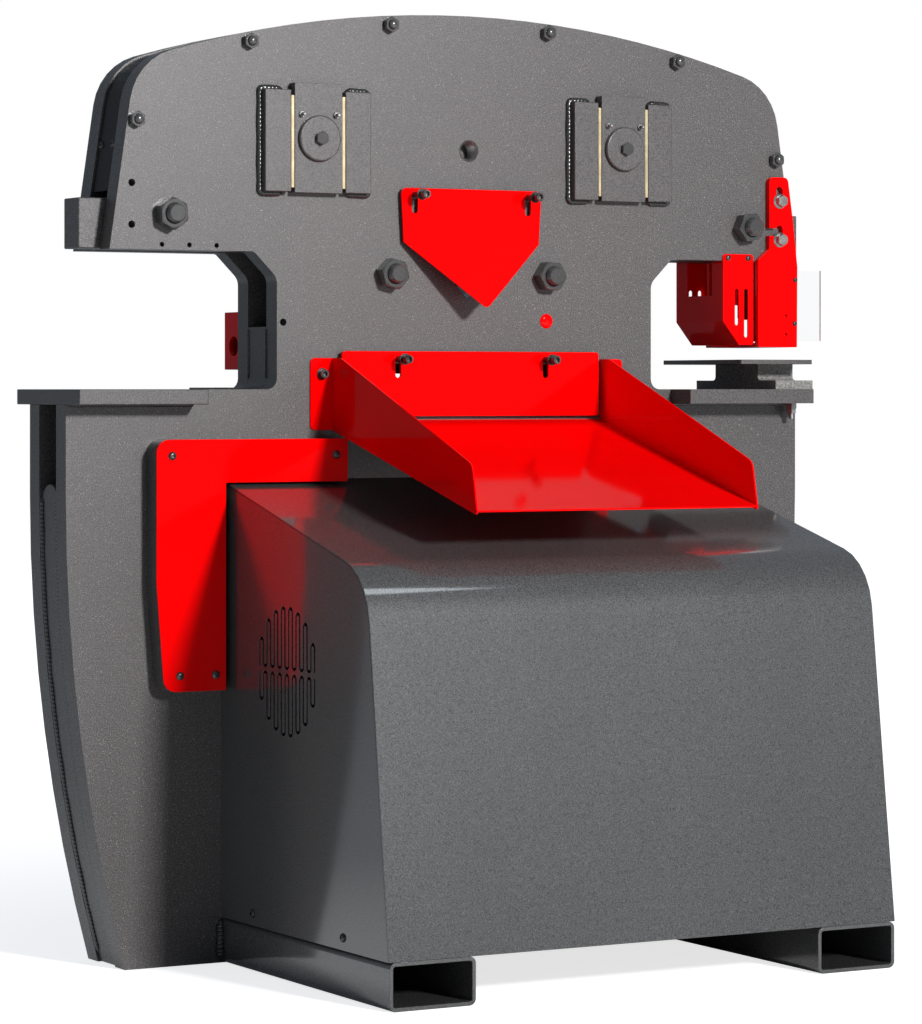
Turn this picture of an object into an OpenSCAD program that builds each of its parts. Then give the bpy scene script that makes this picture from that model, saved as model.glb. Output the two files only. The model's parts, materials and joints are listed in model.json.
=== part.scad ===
// Hydraulic ironworker: a frame of two plates, one guided ram between them, a punch, a flat
// shear and an angle shear, with the power pack under a hood.
// X runs along the plates, Y across them and Z up. The origin is on the floor, midway between
// the two ram guides and midway between the plates. The chute side looks to -Y.

/* [Frame] */
// Thickness of each frame plate
plate_t = 40; // [36:1:44]
// Clear gap between the two frame plates
plate_gap = 70; // [68:1:76]
// Height of the table tops and throat floors
table_z = 957; // [940:1:980]
// Height of the throats, from floor to roof
throat_h = 231; // [228:1:245]
// Distance from the centre to the back wall of each throat
throat_half = 371; // [366:1:380]
// Slanted corner at the roof of each throat
throat_chamfer = 43; // [30:1:50]
// Fillet at the floor of each throat
throat_r = 18; // [10:1:24]
// Rise of the crown above the throat roofs
crown_h = 414; // [408:1:425]
// Radius of the crown
crown_r = 2000; // [1900:10:2150]
// Half width of the arms at the throat roofs
arm_half = 678; // [672:1:690]
// Lean of the arm ends, in degrees
arm_lean = 8.5; // [7.5:0.1:9.5]
// Radius of the shoulders
shoulder_r = 105; // [90:1:120]
// Step of the lower left edge beyond the arms' half width
left_step = 78; // [64:1:90]
// Step of the lower right edge beyond the arms' half width
right_step = 2; // [0:1:8]
// Height where the lower edges start to draw in
flank_z = 780; // [700:1:820]
// Radius of the lower edges
flank_r = 2925; // [2700:25:3400]

/* [Tie rods] */
// Diameter of the four large tie rods
tie_d = 31.8; // [28:0.2:34]
// Distance of the outer tie rods in from the arms' half width
tie_outer_in = 107; // [98:1:118]
// Height of the outer tie rods above the throat roofs
tie_outer_rise = 60; // [55:1:66]
// Place of the inner tie rods along X
tie_inner_x = 156; // [150:1:170]
// Drop of the inner tie rods below the throat roofs
tie_inner_drop = 34; // [25:1:40]
// Diameter of the rim studs
rim_d = 16; // [12:1:18]
// Distance of the rim studs from the plate edge
rim_inset = 16; // [15:1:18]

/* [Guides] */
// Distance from the centre to each ram guide
guide_x = 302; // [295:1:310]
// Height of the guide centres above the throat roofs
guide_rise = 192; // [188:1:198]
// Width of a guide slide
slide_w = 90; // [80:1:100]
// Height of a guide slide
slide_h = 185; // [178:1:190]
// Width of a welded guide rail
rail_w = 49; // [42:1:54]
// Height of a welded guide rail
rail_h = 172; // [160:1:178]
// Stand-off of rails and slides from the plate
rail_proud = 20; // [17:1:24]
// Thickness of a brass gib strip
gib_t = 6; // [4:0.5:8]
// Radius of a slide cap
cap_r = 39; // [34:1:42]
// Thickness of a slide cap
cap_t = 8; // [6:1:12]

/* [Ram] */
// Thickness of the ram
ram_t = 60; // [54:1:62]
// Stroke of the ram
stroke = 38; // [30:1:40]
// Reach of the ram's ends beyond the arms' half width
ram_reach = 36; // [27:1:47]
// Height of the ram's two end blocks
ram_end_h = 84; // [78:1:88]

/* [Shears] */
// Half length of the flat shear blades
shear_half = 250; // [240:1:254]
// Height of the fixed flat blade's edge above the table tops
shear_lift = 3; // [0:1:6]
// Height of the opening above the fixed flat blade
shear_open = 55; // [50:1:58]
// Height of a flat blade
blade_h = 30; // [25:1:34]
// Thickness of all shear blades
blade_t = 25; // [20:1:28]
// Half width of the angle shear opening
angle_half = 105; // [95:1:108]
// Drop of the angle opening's point below the throat roofs
angle_drop = 78; // [72:1:80]

/* [Tables] */
// Thickness of both tables
table_t = 25.4; // [20:0.2:30]
// Length of the left table
left_table_l = 232; // [220:1:250]
// Half depth of the left table
left_table_half = 131; // [120:1:145]
// Distance of the right table out from the throat's back wall
right_table_gap = 42; // [29:1:59]
// Half depth of the right table
right_table_half = 140; // [130:1:150]

/* [Punch station] */
// Distance of the punch in from the arms' half width
punch_in = 38; // [36:1:42]
// Radius of the punch tip
punch_r = 10; // [6:0.5:12]
// Gap all round between punch and die
die_gap = 0.5; // [0.4:0.1:1]
// Height of the bolster's foot
bolster_foot_h = 16; // [12:1:20]
// Height of the bolster's block
bolster_block_h = 29; // [24:1:34]
// Thickness of the gauging table
gauge_t = 8; // [6:1:10]
// Gap between gauging table and stripper
stripper_gap = 23; // [21:1:30]
// Thickness of a stripper arm
stripper_t = 11.6; // [10:0.1:14]
// Travel of the stripper
stripper_travel = 18; // [14:1:20]

/* [Guards] */
// Thickness of guard and chute sheet
sheet_t = 3; // [2:0.5:4]
// Half width of the chute between its outer faces
chute_half = 267; // [262:1:280]
// Reach of the chute from the plate
chute_reach = 500; // [470:1:515]
// Diameter of the guard screws
guard_screw_d = 10; // [8:1:12]
// Upward travel of the two hanging guards
guard_travel = 25; // [15:1:26]
// Outward bend of the angle guard's lower half, in degrees
guard_kick = 25.5; // [20:0.5:30]

/* [Hood] */
// Half width of the hood
hood_half = 475; // [470:1:485]
// Reach of the hood at its foot, from the plate
hood_reach = 594; // [585:1:610]
// Drop of the hood's top below the table tops, at the plate
hood_drop = 151; // [145:1:157]
// Slope of the hood's top, in degrees
hood_slope = 14.7; // [13:0.1:16]
// Lean of the hood's front, in degrees
hood_lean = 7.1; // [6.5:0.1:8]
// Radius between the hood's top and front
hood_r = 110; // [60:1:120]
// Width of a fork tube
tube_w = 152.4; // [140:0.2:165]
// Height of a fork tube
tube_h = 76.2; // [70:0.2:82]
// Wall of a fork tube
tube_wall = 6.35; // [5:0.05:8]

/* [Hydraulics] */
// Outer radius of the cylinder
cyl_r = 70; // [64:1:70]
// Bore radius of the cylinder
bore_r = 55; // [50:1:57]
// Radius of the piston rod
rod_r = 36; // [30:1:40]
// Height of the ram's tail above the cylinder's foot
cyl_span = 470; // [460:1:485]
// Length of the cylinder barrel
cyl_l = 330; // [310:1:340]
// Radius of a hydraulic hose
hose_r = 10; // [8:1:12]

/* [Hidden] */
$fn = 48;

// Clearances
run_gap = 0.3;
slip_gap = 0.06;
hole_gap = 0.3;
cut = 1;

// Finishes
coat_grey = [0.37, 0.36, 0.355];
coat_red = [0.86, 0.01, 0.02];
brass_tone = [0.86, 0.76, 0.5];
bare_steel = [0.62, 0.61, 0.6];
black_steel = [0.1, 0.1, 0.105];
tool_steel = [0.45, 0.45, 0.46];
clear_sheet = [0.85, 0.9, 0.92, 0.3];
motor_blue = [0.2, 0.24, 0.28];
rubber_black = [0.05, 0.05, 0.05];

// Levels of the frame
inner_y = plate_gap / 2;
face_y = inner_y + plate_t;
roof_z = table_z + throat_h;
crown_z = roof_z + crown_h;
crown_c = [0, crown_z - crown_r];
table_under_z = table_z - table_t;
left_edge = arm_half + left_step;
right_edge = arm_half + right_step;
left_table_end = left_edge - left_table_l;
right_table_x = throat_half + right_table_gap;

// Guides: rail, gib and slide rows
guide_z = roof_z + guide_rise;
gib_x0 = slide_w / 2 + run_gap;
rail_x0 = gib_x0 + gib_t;
slide_z0 = guide_z - slide_h / 2 + 0.5;
rail_z0 = guide_z - 91;
gib_z0 = rail_z0 + 7;
gib_h = rail_h - 16;
boss_r = 30;
fitting_dx = 32.6;
fitting_dz = 40;
cap_bolt_r = 7;

// Ram outline
ram_end = arm_half + ram_reach;
ram_y = ram_t / 2;
ram_floor_z = roof_z + 2;
ram_top_z = guide_z + 98;
ram_side_gap = 64;
ram_neck = [arm_half - ram_side_gap, ram_floor_z + 110];
ram_elbow = [ram_neck.x - 32, ram_floor_z + 162];
ram_shoulder_x = ram_elbow.x - 190;
spacer_w = 36;
web_half = throat_half - spacer_w - 10;
web_floor_z = table_z - 77;
tail_half = 80;
tail_top_z = table_z - 157;
tail_floor_z = table_z - 257;
cyl_foot_z = tail_floor_z - cyl_span;

// Tie rods and rim studs
tie_r = tie_d / 2;
tie_outer_x = arm_half - tie_outer_in;
tie_spacer_r = tie_r + 11;
tie_points = [for (s = [-1, 1]) each [
    [s * tie_outer_x, roof_z + tie_outer_rise],
    [s * tie_inner_x, roof_z - tie_inner_drop]
]];
nut_af = 1.5 * tie_d;
nut_h = 0.8 * tie_d;
stud_end = 12;
rim_r = rim_d / 2;
rim_nut_af = 1.5 * rim_d;
rim_nut_h = 0.8 * rim_d;
rim_end = 7;
rim_crown_x = [156, 423];
rim_left_rise = 219;
rim_right_rise = 188;

// Shear openings
shear_z = table_z + shear_lift;
blade_seat_y = inner_y + blade_t;
angle_point_z = roof_z - angle_drop;
angle_side_h = 70;
angle_top_z = angle_point_z + angle_half + angle_side_h;
ram_window_margin = 5;
ram_shear_top_z = shear_z + 75;
blade_rake = 14;
blade_rest_lift = 14;
male_half = 80;
male_lift = 50;

// Punch station
punch_x = arm_half - punch_in;
bolster_w = 80;
bolster_half = 131;
bolster_block_w = 76;
bolster_block_half = 70;
bolster_fillet = 8;
gauge_x0 = punch_x - 114;
gauge_z = table_z + bolster_foot_h + bolster_block_h;
gauge_top_z = gauge_z + gauge_t;
die_r = 30;
die_h = 26;
slug_r = 18;
stripper_z = gauge_top_z + stripper_gap;
stripper_plate_t = 8;
stripper_x0 = punch_x - 48;
stripper_x1 = punch_x + 36;
stripper_neck_x = stripper_x0 + 24;
stripper_notch = 20;
stripper_pin_rise = [23.5, 57];
stripper_bolt_x = punch_x - 2;
stripper_bolt_z = [roof_z + 39, roof_z + 109];
stripper_bolt_r = 6.3;
punch_tip_z = stripper_z + stripper_plate_t + 3;
spigot_r = 20;
nut_r = 30;
shroud_x1 = stripper_x0 - 5;
shroud_x0 = shroud_x1 - 65;
shroud_bevel = [34, 42];

// Guards
guard_r = guard_screw_d / 2;
guard_slot_w = guard_screw_d + 1.4;
guard_sheet = 4;
shear_guard_y = face_y + 8;
shear_guard_t = 6;
shear_guard_half = chute_half - sheet_t - 10;
shear_guard_z = [table_z - 46, table_z + 65];
shear_screw = [146, table_z + 51];
angle_guard_y = face_y + 7;
angle_guard_half = angle_half + 34;
angle_guard_top = roof_z + 114;
angle_guard_bend = roof_z + 21;
angle_guard_drop = 122;
guard_taper = 5;
angle_screw = [112, roof_z + 102];
guard_head_y = face_y + 54;
washer_y = guard_head_y - guard_screw_d - 6;
chute_back_z = [table_z - 69, table_z + 53];
chute_front_z = [table_z - 200, table_z - 119];
chute_floor_z = [table_z - 55, chute_front_z[0] + 5];
chute_flange = 42;
chute_level = 30;
chute_screw = [chute_half + 20, table_z + 26];

// Hood and power pack
hood_top_z = table_z - hood_drop;
hood_base_z = tube_h;
hood_p0 = [-face_y, hood_top_z];
hood_f0 = [-face_y - hood_reach, hood_base_z];
tube_x = hood_half - 1 - tube_w / 2;
tube_r = 11;
pan_t = 4;
pan_z = tube_h + pan_t;
vent_y = -face_y - 244;
vent_z = 501;
vent_r = 105;
vent_pairs = 8;
vent_slot = 5;
vent_bridge = 5;
hood_screw_in = [121, 441];
hood_screw_y = [for (d = hood_screw_in) -face_y - d];
hood_screw_z = tube_h + 20;
motor_set = 255;
motor_y = -face_y - motor_set;
motor_z = 300;
motor_r = 92;
motor_l = 280;
motor_x0 = -hood_half + 45;
motor_x1 = motor_x0 + motor_l;
terminal_x = [110, 200];
terminal_half = 45;
terminal_h = 50;
bell_l = 110;
pump_l = 90;
pump_w = 76;
pump_h = 96;
shaft_r = 14;
tank_gap = 50;
tank_x = [motor_x1 + bell_l + pump_l + tank_gap, hood_half - 35];
tank_in = [510, 235];
tank_y = [for (d = tank_in) -face_y - d];
tank_z1 = 430;
tank_wall = 4;
lid_t = 5;
valve_in = [60, 200];
valve_set = [405, 305];
valve_x = [for (d = valve_in) tank_x[0] + d];
valve_y = [for (d = valve_set) -face_y - d];
valve_h = 80;
seat_h = 60;
seat_half = 110;
gland_h = 30;
port_r = 15;
port_y = cyl_r + 30;
port_z = [cyl_foot_z + 60, cyl_foot_z + cyl_l - 30];

// Side cover, an L round the hood's upper corner
box_depth = 37;
box_x = [-hood_half - 136, -hood_half + 218];
box_z = [hood_top_z - 348, hood_top_z + 68];
box_leg_x = -hood_half - 10;
box_leg_z = hood_top_z + 1;

// Plane helpers
function unit(v) = v / norm(v);
function xz(p) = [p.x, p.y];
function ray(a) = [cos(a), sin(a)];
function arc(c, r, a0, a1, n) = [for (i = [0 : n]) c + r * ray(a0 + (a1 - a0) * i / n)];
function flip_x(p) = [for (i = [len(p) - 1 : -1 : 0]) [-p[i].x, p[i].y]];
function back(p) = [for (i = [len(p) - 1 : -1 : 0]) p[i]];
function tail(p) = [for (i = [1 : len(p) - 1]) p[i]];
function plain(p) = [for (q = p) [q.x, q.y, 0]];
// Corner b between a and c, rounded to the radius that b carries
function corner(a, b, c) =
    b[2] == 0 ? [xz(b)] :
    let (
        u = unit(xz(a) - xz(b)),
        v = unit(xz(c) - xz(b)),
        half = acos(u * v) / 2,
        m = xz(b) + unit(u + v) * b[2] / sin(half),
        t0 = xz(b) + u * b[2] / tan(half) - m,
        t1 = xz(b) + v * b[2] / tan(half) - m,
        a0 = atan2(t0.y, t0.x)
    ) arc(m, b[2], a0, a0 + (180 - 2 * half) * sign(cross(t0, t1)), 5);
function rounded(p) = [
    for (i = [0 : len(p) - 1]) each corner(p[(i + len(p) - 1) % len(p)], p[i], p[(i + 1) % len(p)])
];
// Where the line from p along d meets the line from q along e
function meet(p, d, q, e) = p + d * cross(q - p, e) / cross(d, e);

// Frame outline
arm_up = [sin(arm_lean), cos(arm_lean)];
arm_in = [cos(arm_lean), -sin(arm_lean)];
arm_foot = [-arm_half, roof_z];
shoulder_d = arm_foot + shoulder_r * arm_in - crown_c;
shoulder_b = shoulder_d * arm_up;
shoulder_k = pow(shoulder_b, 2) - shoulder_d * shoulder_d + pow(crown_r - shoulder_r, 2);
shoulder_t = -shoulder_b + sqrt(shoulder_k);
shoulder_c = crown_c + shoulder_d + shoulder_t * arm_up;
shoulder_a = atan2(shoulder_c.y - crown_c.y, shoulder_c.x - crown_c.x);
// Left end and crown from arm foot to centre line, drawn in by i
function upper_left(i, rise = 0) = concat(
    [arm_foot + i * arm_in + rise * arm_up],
    arc(shoulder_c, shoulder_r - i, 180 - arm_lean, shoulder_a, 6),
    tail(arc(crown_c, crown_r - i, shoulder_a, 90, 10))
);
function upper(i, rise = 0) = concat(upper_left(i, rise), tail(flip_x(upper_left(i, rise))));
// Lower edge from flank_z to the floor, drawn in by i
function flank(edge, i) = arc([edge - flank_r, flank_z], flank_r - i, 0, -asin(flank_z / flank_r), 8);
function half_frame(edge, table_x) = concat(
    [
        [throat_half + throat_chamfer, roof_z, 10],
        [throat_half, roof_z - throat_chamfer, 25],
        [throat_half, table_z, throat_r],
        [table_x, table_z, 0],
        [table_x, table_under_z, 0],
        [edge, table_under_z, 0]
    ],
    plain(flank(edge, 0))
);
function flip_row(p) = [for (i = [len(p) - 1 : -1 : 0]) [-p[i].x, p[i].y, p[i][2]]];
function frame_outline() = rounded(concat(
    plain(upper(0)),
    half_frame(right_edge, right_table_x),
    flip_row(half_frame(left_edge, left_table_end))
));
// Five-sided angle opening with its point down, grown by m
function angle_outline(m) = [
    [-angle_half - m, angle_top_z],
    [angle_half + m, angle_top_z],
    [angle_half + m, angle_point_z + angle_half],
    [0, angle_point_z - m],
    [-angle_half - m, angle_point_z + angle_half]
];
rim_side_in = rim_inset - 1;
rim_points = concat(
    [for (x = rim_crown_x) for (s = [-1, 1])
        [s * x, crown_c.y + sqrt(pow(crown_r - rim_inset, 2) - x * x)]],
    [
        arm_foot + rim_side_in * arm_in + rim_left_rise * arm_up,
        flip_x([arm_foot + rim_side_in * arm_in + rim_right_rise * arm_up])[0]
    ]
);

// Solid helpers
// Shape drawn in X-Z, thick from y0 to y1
module slab(y0, y1) translate([0, y1, 0]) rotate([90, 0, 0]) linear_extrude(y1 - y0) children();
// Shape drawn in Y-Z, long from x0 to x1
module bar(x0, x1) translate([x0, 0, 0]) rotate([90, 0, 90]) linear_extrude(x1 - x0) children();
module block(lo, hi) translate(lo) cube(hi - lo);
module pin_y(p, r, y0, y1) translate([p.x, y1, p.y]) rotate([90, 0, 0]) cylinder(r = r, h = y1 - y0);
module pin_x(p, r, x0, x1) translate([x0, p.x, p.y]) rotate([0, 90, 0]) cylinder(r = r, h = x1 - x0);
module front_and_rear() { children(); mirror([0, 1, 0]) children(); }
module left_and_right() { children(); mirror([1, 0, 0]) children(); }
// Upright slot of width w between two end centres
module slot(x, z0, z1, w) {
    translate([x - w / 2, z0]) square([w, z1 - z0]);
    for (z = [z0, z1]) translate([x, z]) circle(d = w);
}
module round_rect(w, h, r) {
    translate([-w / 2 + r, -h / 2]) square([w - 2 * r, h]);
    translate([-w / 2, -h / 2 + r]) square([w, h - 2 * r]);
    for (x = [-1, 1]) for (y = [-1, 1]) translate([x * (w / 2 - r), y * (h / 2 - r)]) circle(r);
}
module hexagon(af) circle(r = af / sqrt(3), $fn = 6);
// Nut on the front face of something at y, with its bore
module nut_y(p, af, h, r, y) {
    translate([p.x, y, p.y]) rotate([90, 0, 0]) difference() {
        intersection() {
            linear_extrude(h) hexagon(af);
            cylinder(r1 = af / 2 + h, r2 = af / 2 + 0.4, h = h);
        }
        translate([0, 0, -cut]) cylinder(r = r + hole_gap / 3, h = h + 2 * cut);
    }
}
// Rod through both plates whose ends are chamfered
module stud_y(p, r, reach, dome) {
    pin_y(p, r, -reach + dome, reach - dome);
    front_and_rear() translate([p.x, -reach + dome, p.y]) rotate([90, 0, 0])
        cylinder(r1 = r, r2 = r - 0.8 * dome, h = dome);
}
// Socket cap screw along -Y: head from y - head to y, shank back to y_end
module cap_screw(p, r, y_head, y_end) {
    head = 2 * r;
    difference() {
        pin_y(p, 1.55 * r, y_head, y_head + head);
        translate([p.x, y_head + r, p.y]) rotate([90, 0, 0]) linear_extrude(r + cut) hexagon(1.6 * r);
    }
    pin_y(p, r, y_head + head, y_end);
}
// Button screw at the origin, its head up along Z and its shank t long
module button_screw(r, t) {
    rotate_extrude() polygon(concat(
        [[0, -t], [r, -t], [r, 0], [1.8 * r, 0]],
        [for (a = [0 : 15 : 60]) [1.8 * r * cos(a), 1.2 * r * sin(a)]],
        [[0.6 * r, 1.04 * r], [0.6 * r, 0.4 * r], [0, 0.4 * r]]
    ));
}

// Frame
module plate_openings(y0, y1) {
    slab(y0, y1) polygon(angle_outline(0));
    block([-shear_half, y0, shear_z], [shear_half, y1, shear_z + shear_open]);
    slab(y0, y1) for (s = [-1, 1])
        slot(s * guide_x, guide_z - stroke - 1, guide_z + 1, 2 * boss_r + 2);
    block([-cyl_r - 10, y0, cyl_foot_z], [cyl_r + 10, y1, tail_floor_z + 10]);
    for (p = tie_points) pin_y(p, tie_r + hole_gap, y0, y1);
    for (p = rim_points) pin_y(p, rim_r + hole_gap, y0, y1);
}
lift_r = 15;
lift_sink = 4;
lift_depth = plate_t - 6;
lift_z = roof_z + 181;
arm_hole_r = 6;
arm_hole_depth = 22;
arm_hole_x = arm_half - 40;
arm_hole_z = [roof_z + 41, roof_z + 110];
rest_hole_r = 4;
rest_hole_x = [-583, -533, -483];
rest_hole_z = roof_z + 9;
stop_hole = [-throat_half + 12, table_z + 113];
plug_at = [155, table_z + 119];
plug_r = 9;
module front_plate() color(coat_grey) difference() {
    slab(-face_y, -inner_y) polygon(frame_outline());
    plate_openings(-face_y - cut, -inner_y + cut);
    // pockets for the fixed blades, open to the ram
    block([-shear_half, -blade_seat_y, shear_z - blade_h], [shear_half, -inner_y + cut, shear_z + cut]);
    slab(-blade_seat_y, -inner_y + cut) polygon(angle_blade_outline());
    // lifting eye thread with its countersink
    pin_y([0, lift_z], lift_r, -face_y - cut, -face_y + lift_depth);
    translate([0, -face_y - 0.01, lift_z]) rotate([-90, 0, 0])
        cylinder(r1 = lift_r + lift_sink, r2 = lift_r, h = lift_sink);
    // tapped holes for tooling and stops
    for (z = arm_hole_z) pin_y([-arm_hole_x, z], arm_hole_r, -face_y - cut, -face_y + arm_hole_depth);
    for (x = rest_hole_x) pin_y([x, rest_hole_z], rest_hole_r, -face_y - cut, -face_y + arm_hole_depth);
    pin_y(stop_hole, arm_hole_r, -face_y - cut, -face_y + arm_hole_depth);
    pin_y(plug_at, plug_r, -face_y - cut, -face_y + arm_hole_depth);
}
module rear_plate() color(coat_grey) difference() {
    slab(inner_y, face_y) polygon(frame_outline());
    plate_openings(inner_y - cut, face_y + cut);
}
foot_spacer_h = 50;
throat_spacer_top = table_z + 106;
throat_spacer_foot = table_z - 90;
module frame_spacers() color(coat_grey) {
    slab(-inner_y, inner_y) polygon([
        [-left_edge + 150, 0], [right_edge - 150, 0],
        [right_edge - 150, foot_spacer_h], [-left_edge + 150, foot_spacer_h]
    ]);
    left_and_right() slab(-inner_y, inner_y) polygon(rounded([
        [throat_half - spacer_w, throat_spacer_foot, 0],
        [throat_half + 30, throat_spacer_foot, 0],
        [throat_half + 30, table_z, 0],
        [throat_half, table_z, throat_r],
        [throat_half, throat_spacer_top, 0],
        [throat_half - spacer_w, throat_spacer_top, 0]
    ]));
    block([-seat_half, -inner_y, cyl_foot_z - seat_h], [seat_half, inner_y, cyl_foot_z]);
}
strip_in = [4, 16];
strip_top_z = flank_z + 20;
module edge_strip(edge) intersection() {
    slab(-inner_y, inner_y) polygon(concat(
        [[edge - strip_in[0], strip_top_z]], flank(edge, strip_in[0]),
        back(flank(edge, strip_in[1])), [[edge - strip_in[1], strip_top_z]]
    ));
    union() {
        block([0, -inner_y, 0], [edge, inner_y, strip_top_z - inner_y]);
        pin_x([0, strip_top_z - inner_y], inner_y, 0, edge);
    }
}
module edge_strips() color(coat_grey) {
    edge_strip(right_edge);
    mirror([1, 0, 0]) edge_strip(left_edge);
}
cover_in = 3.5;
cover_t = 2.5;
cover_rise = 100;
module crown_cover() color(black_steel) slab(-inner_y, inner_y) polygon(concat(
    upper(cover_in, cover_rise),
    back(upper(cover_in + cover_t, cover_rise))
));
module tie_rods() color(bare_steel) for (p = tie_points) stud_y(p, tie_r, face_y + nut_h + stud_end, 3);
module tie_spacers() color(coat_grey) {
    for (p = tie_points) difference() {
        pin_y(p, tie_spacer_r, -inner_y, inner_y);
        pin_y(p, tie_r + hole_gap, -inner_y - cut, inner_y + cut);
    }
}
module tie_nuts() color(bare_steel) front_and_rear() for (p = tie_points)
    nut_y(p, nut_af, nut_h, tie_r, -face_y);
// Rim studs are tapped into the rear plate and carry one nut each, in front
module rim_studs() color(bare_steel) for (p = rim_points) {
    tip_y = -face_y - rim_nut_h - rim_end;
    pin_y(p, rim_r, tip_y + 4, face_y - 2);
    translate([p.x, tip_y + 4, p.y]) rotate([90, 0, 0]) cylinder(r1 = rim_r, r2 = rim_r - 3.2, h = 4);
    nut_y(p, rim_nut_af, rim_nut_h, rim_r, -face_y);
}

// Guides
module at_guides() front_and_rear() for (s = [-1, 1]) translate([s * guide_x, 0, 0]) children();
module guide_rails() color(coat_grey) at_guides() left_and_right()
    block([rail_x0, -face_y - rail_proud, rail_z0], [rail_x0 + rail_w, -face_y, rail_z0 + rail_h]);
module gib_strips() color(brass_tone) at_guides() left_and_right()
    block([gib_x0, -face_y - rail_proud + 1, gib_z0], [rail_x0, -face_y, gib_z0 + gib_h]);

// Tables
module left_table() color(coat_grey)
    block([-left_edge, -left_table_half, table_under_z], [-left_table_end, left_table_half, table_z]);
right_table_end = right_edge - 4;
clamp_x = punch_x + 18;
clamp_y = bolster_half - 36;
clamp_r = 5;
clamp_nut_h = 9;
clamp_tail = 28;
clamp_head_h = 7;
clamp_head_z = table_z + bolster_foot_h - clamp_head_h - 1;
module clamp_holes(z0, z1) for (s = [-1, 1])
    translate([clamp_x, s * clamp_y, z0]) cylinder(r = clamp_r + hole_gap, h = z1 - z0);
module slug_hole(z0, z1) translate([punch_x, 0, z0]) cylinder(r = slug_r, h = z1 - z0);
module right_table() color(coat_grey) difference() {
    block([right_table_x, -right_table_half, table_under_z], [right_table_end, right_table_half, table_z]);
    slug_hole(table_under_z - cut, table_z + cut);
    clamp_holes(table_under_z - cut, table_z + cut);
}
module table_bolts() color(bare_steel) for (s = [-1, 1]) translate([clamp_x, s * clamp_y, 0]) {
    foot = table_under_z - clamp_tail;
    translate([0, 0, foot]) cylinder(r = clamp_r, h = clamp_head_z - foot);
    translate([0, 0, clamp_head_z]) cylinder(r = 1.6 * clamp_r, h = clamp_head_h);
    for (k = [1, 2]) translate([0, 0, table_under_z - k * clamp_nut_h]) difference() {
        linear_extrude(clamp_nut_h) hexagon((k == 1 ? 3.6 : 3.2) * clamp_r);
        translate([0, 0, -cut]) cylinder(r = clamp_r + hole_gap / 3, h = clamp_nut_h + 2 * cut);
    }
}

// Punch station
bolster_z = table_z + bolster_foot_h;
module bolster() color(black_steel) difference() {
    union() {
        block(
            [punch_x - bolster_w / 2, -bolster_half, table_z],
            [punch_x + bolster_w / 2, bolster_half, bolster_z]
        );
        bar(punch_x - bolster_block_w / 2, punch_x + bolster_block_w / 2) polygon(rounded([
            [-bolster_block_half - 2 * bolster_fillet, bolster_z - cut, 0],
            [-bolster_block_half - 2 * bolster_fillet, bolster_z, 0],
            [-bolster_block_half, bolster_z, bolster_fillet],
            [-bolster_block_half, gauge_z, 0],
            [bolster_block_half, gauge_z, 0],
            [bolster_block_half, bolster_z, bolster_fillet],
            [bolster_block_half + 2 * bolster_fillet, bolster_z, 0],
            [bolster_block_half + 2 * bolster_fillet, bolster_z - cut, 0]
        ]));
    }
    translate([punch_x, 0, gauge_top_z - die_h]) cylinder(r = die_r + hole_gap / 3, h = die_h + cut);
    slug_hole(table_z - cut, gauge_z);
    clamp_holes(table_z - cut, bolster_z + cut);
    for (s = [-1, 1]) translate([clamp_x, s * clamp_y, clamp_head_z])
        cylinder(r = 1.6 * clamp_r + hole_gap, h = bolster_foot_h);
}
module die() color(tool_steel) translate([punch_x, 0, gauge_top_z - die_h]) rotate_extrude() polygon([
    [slug_r - 2, 0], [die_r, 0], [die_r, die_h - 2], [die_r - 2, die_h],
    [punch_r + die_gap, die_h], [punch_r + die_gap, die_h - 6]
]);
module gauging_table() color(coat_grey) difference() {
    translate([(gauge_x0 + right_edge) / 2, 0, gauge_z]) linear_extrude(gauge_t)
        round_rect(right_edge - gauge_x0, 2 * bolster_half, 4);
    translate([punch_x, 0, gauge_z - cut]) cylinder(r = die_r + 2, h = gauge_t + 2 * cut);
}
// Outline of a stripper arm with its lower-left lip and leaning right edge
module stripper_outline() difference() {
    polygon(rounded([
        [stripper_neck_x, roof_z + 152, 9], [stripper_x1 - 20, roof_z + 152, 9],
        [stripper_x1 - 9, roof_z + 76, 30], [stripper_x1 + 1, roof_z - 10, 30],
        [stripper_x1, stripper_z, 2], [stripper_x0, stripper_z, 2],
        [stripper_x0, roof_z + 2, 8], [stripper_neck_x, roof_z + 22, 8]
    ]));
    for (z = stripper_bolt_z)
        slot(stripper_bolt_x, z, z + stripper_travel + 1.5, 2 * stripper_bolt_r + 1);
    translate([stripper_neck_x - 2 * cut, stripper_bolt_z[0] + 7])
        square([stripper_bolt_x - stripper_neck_x + 2 * cut, 14]);
}
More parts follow.
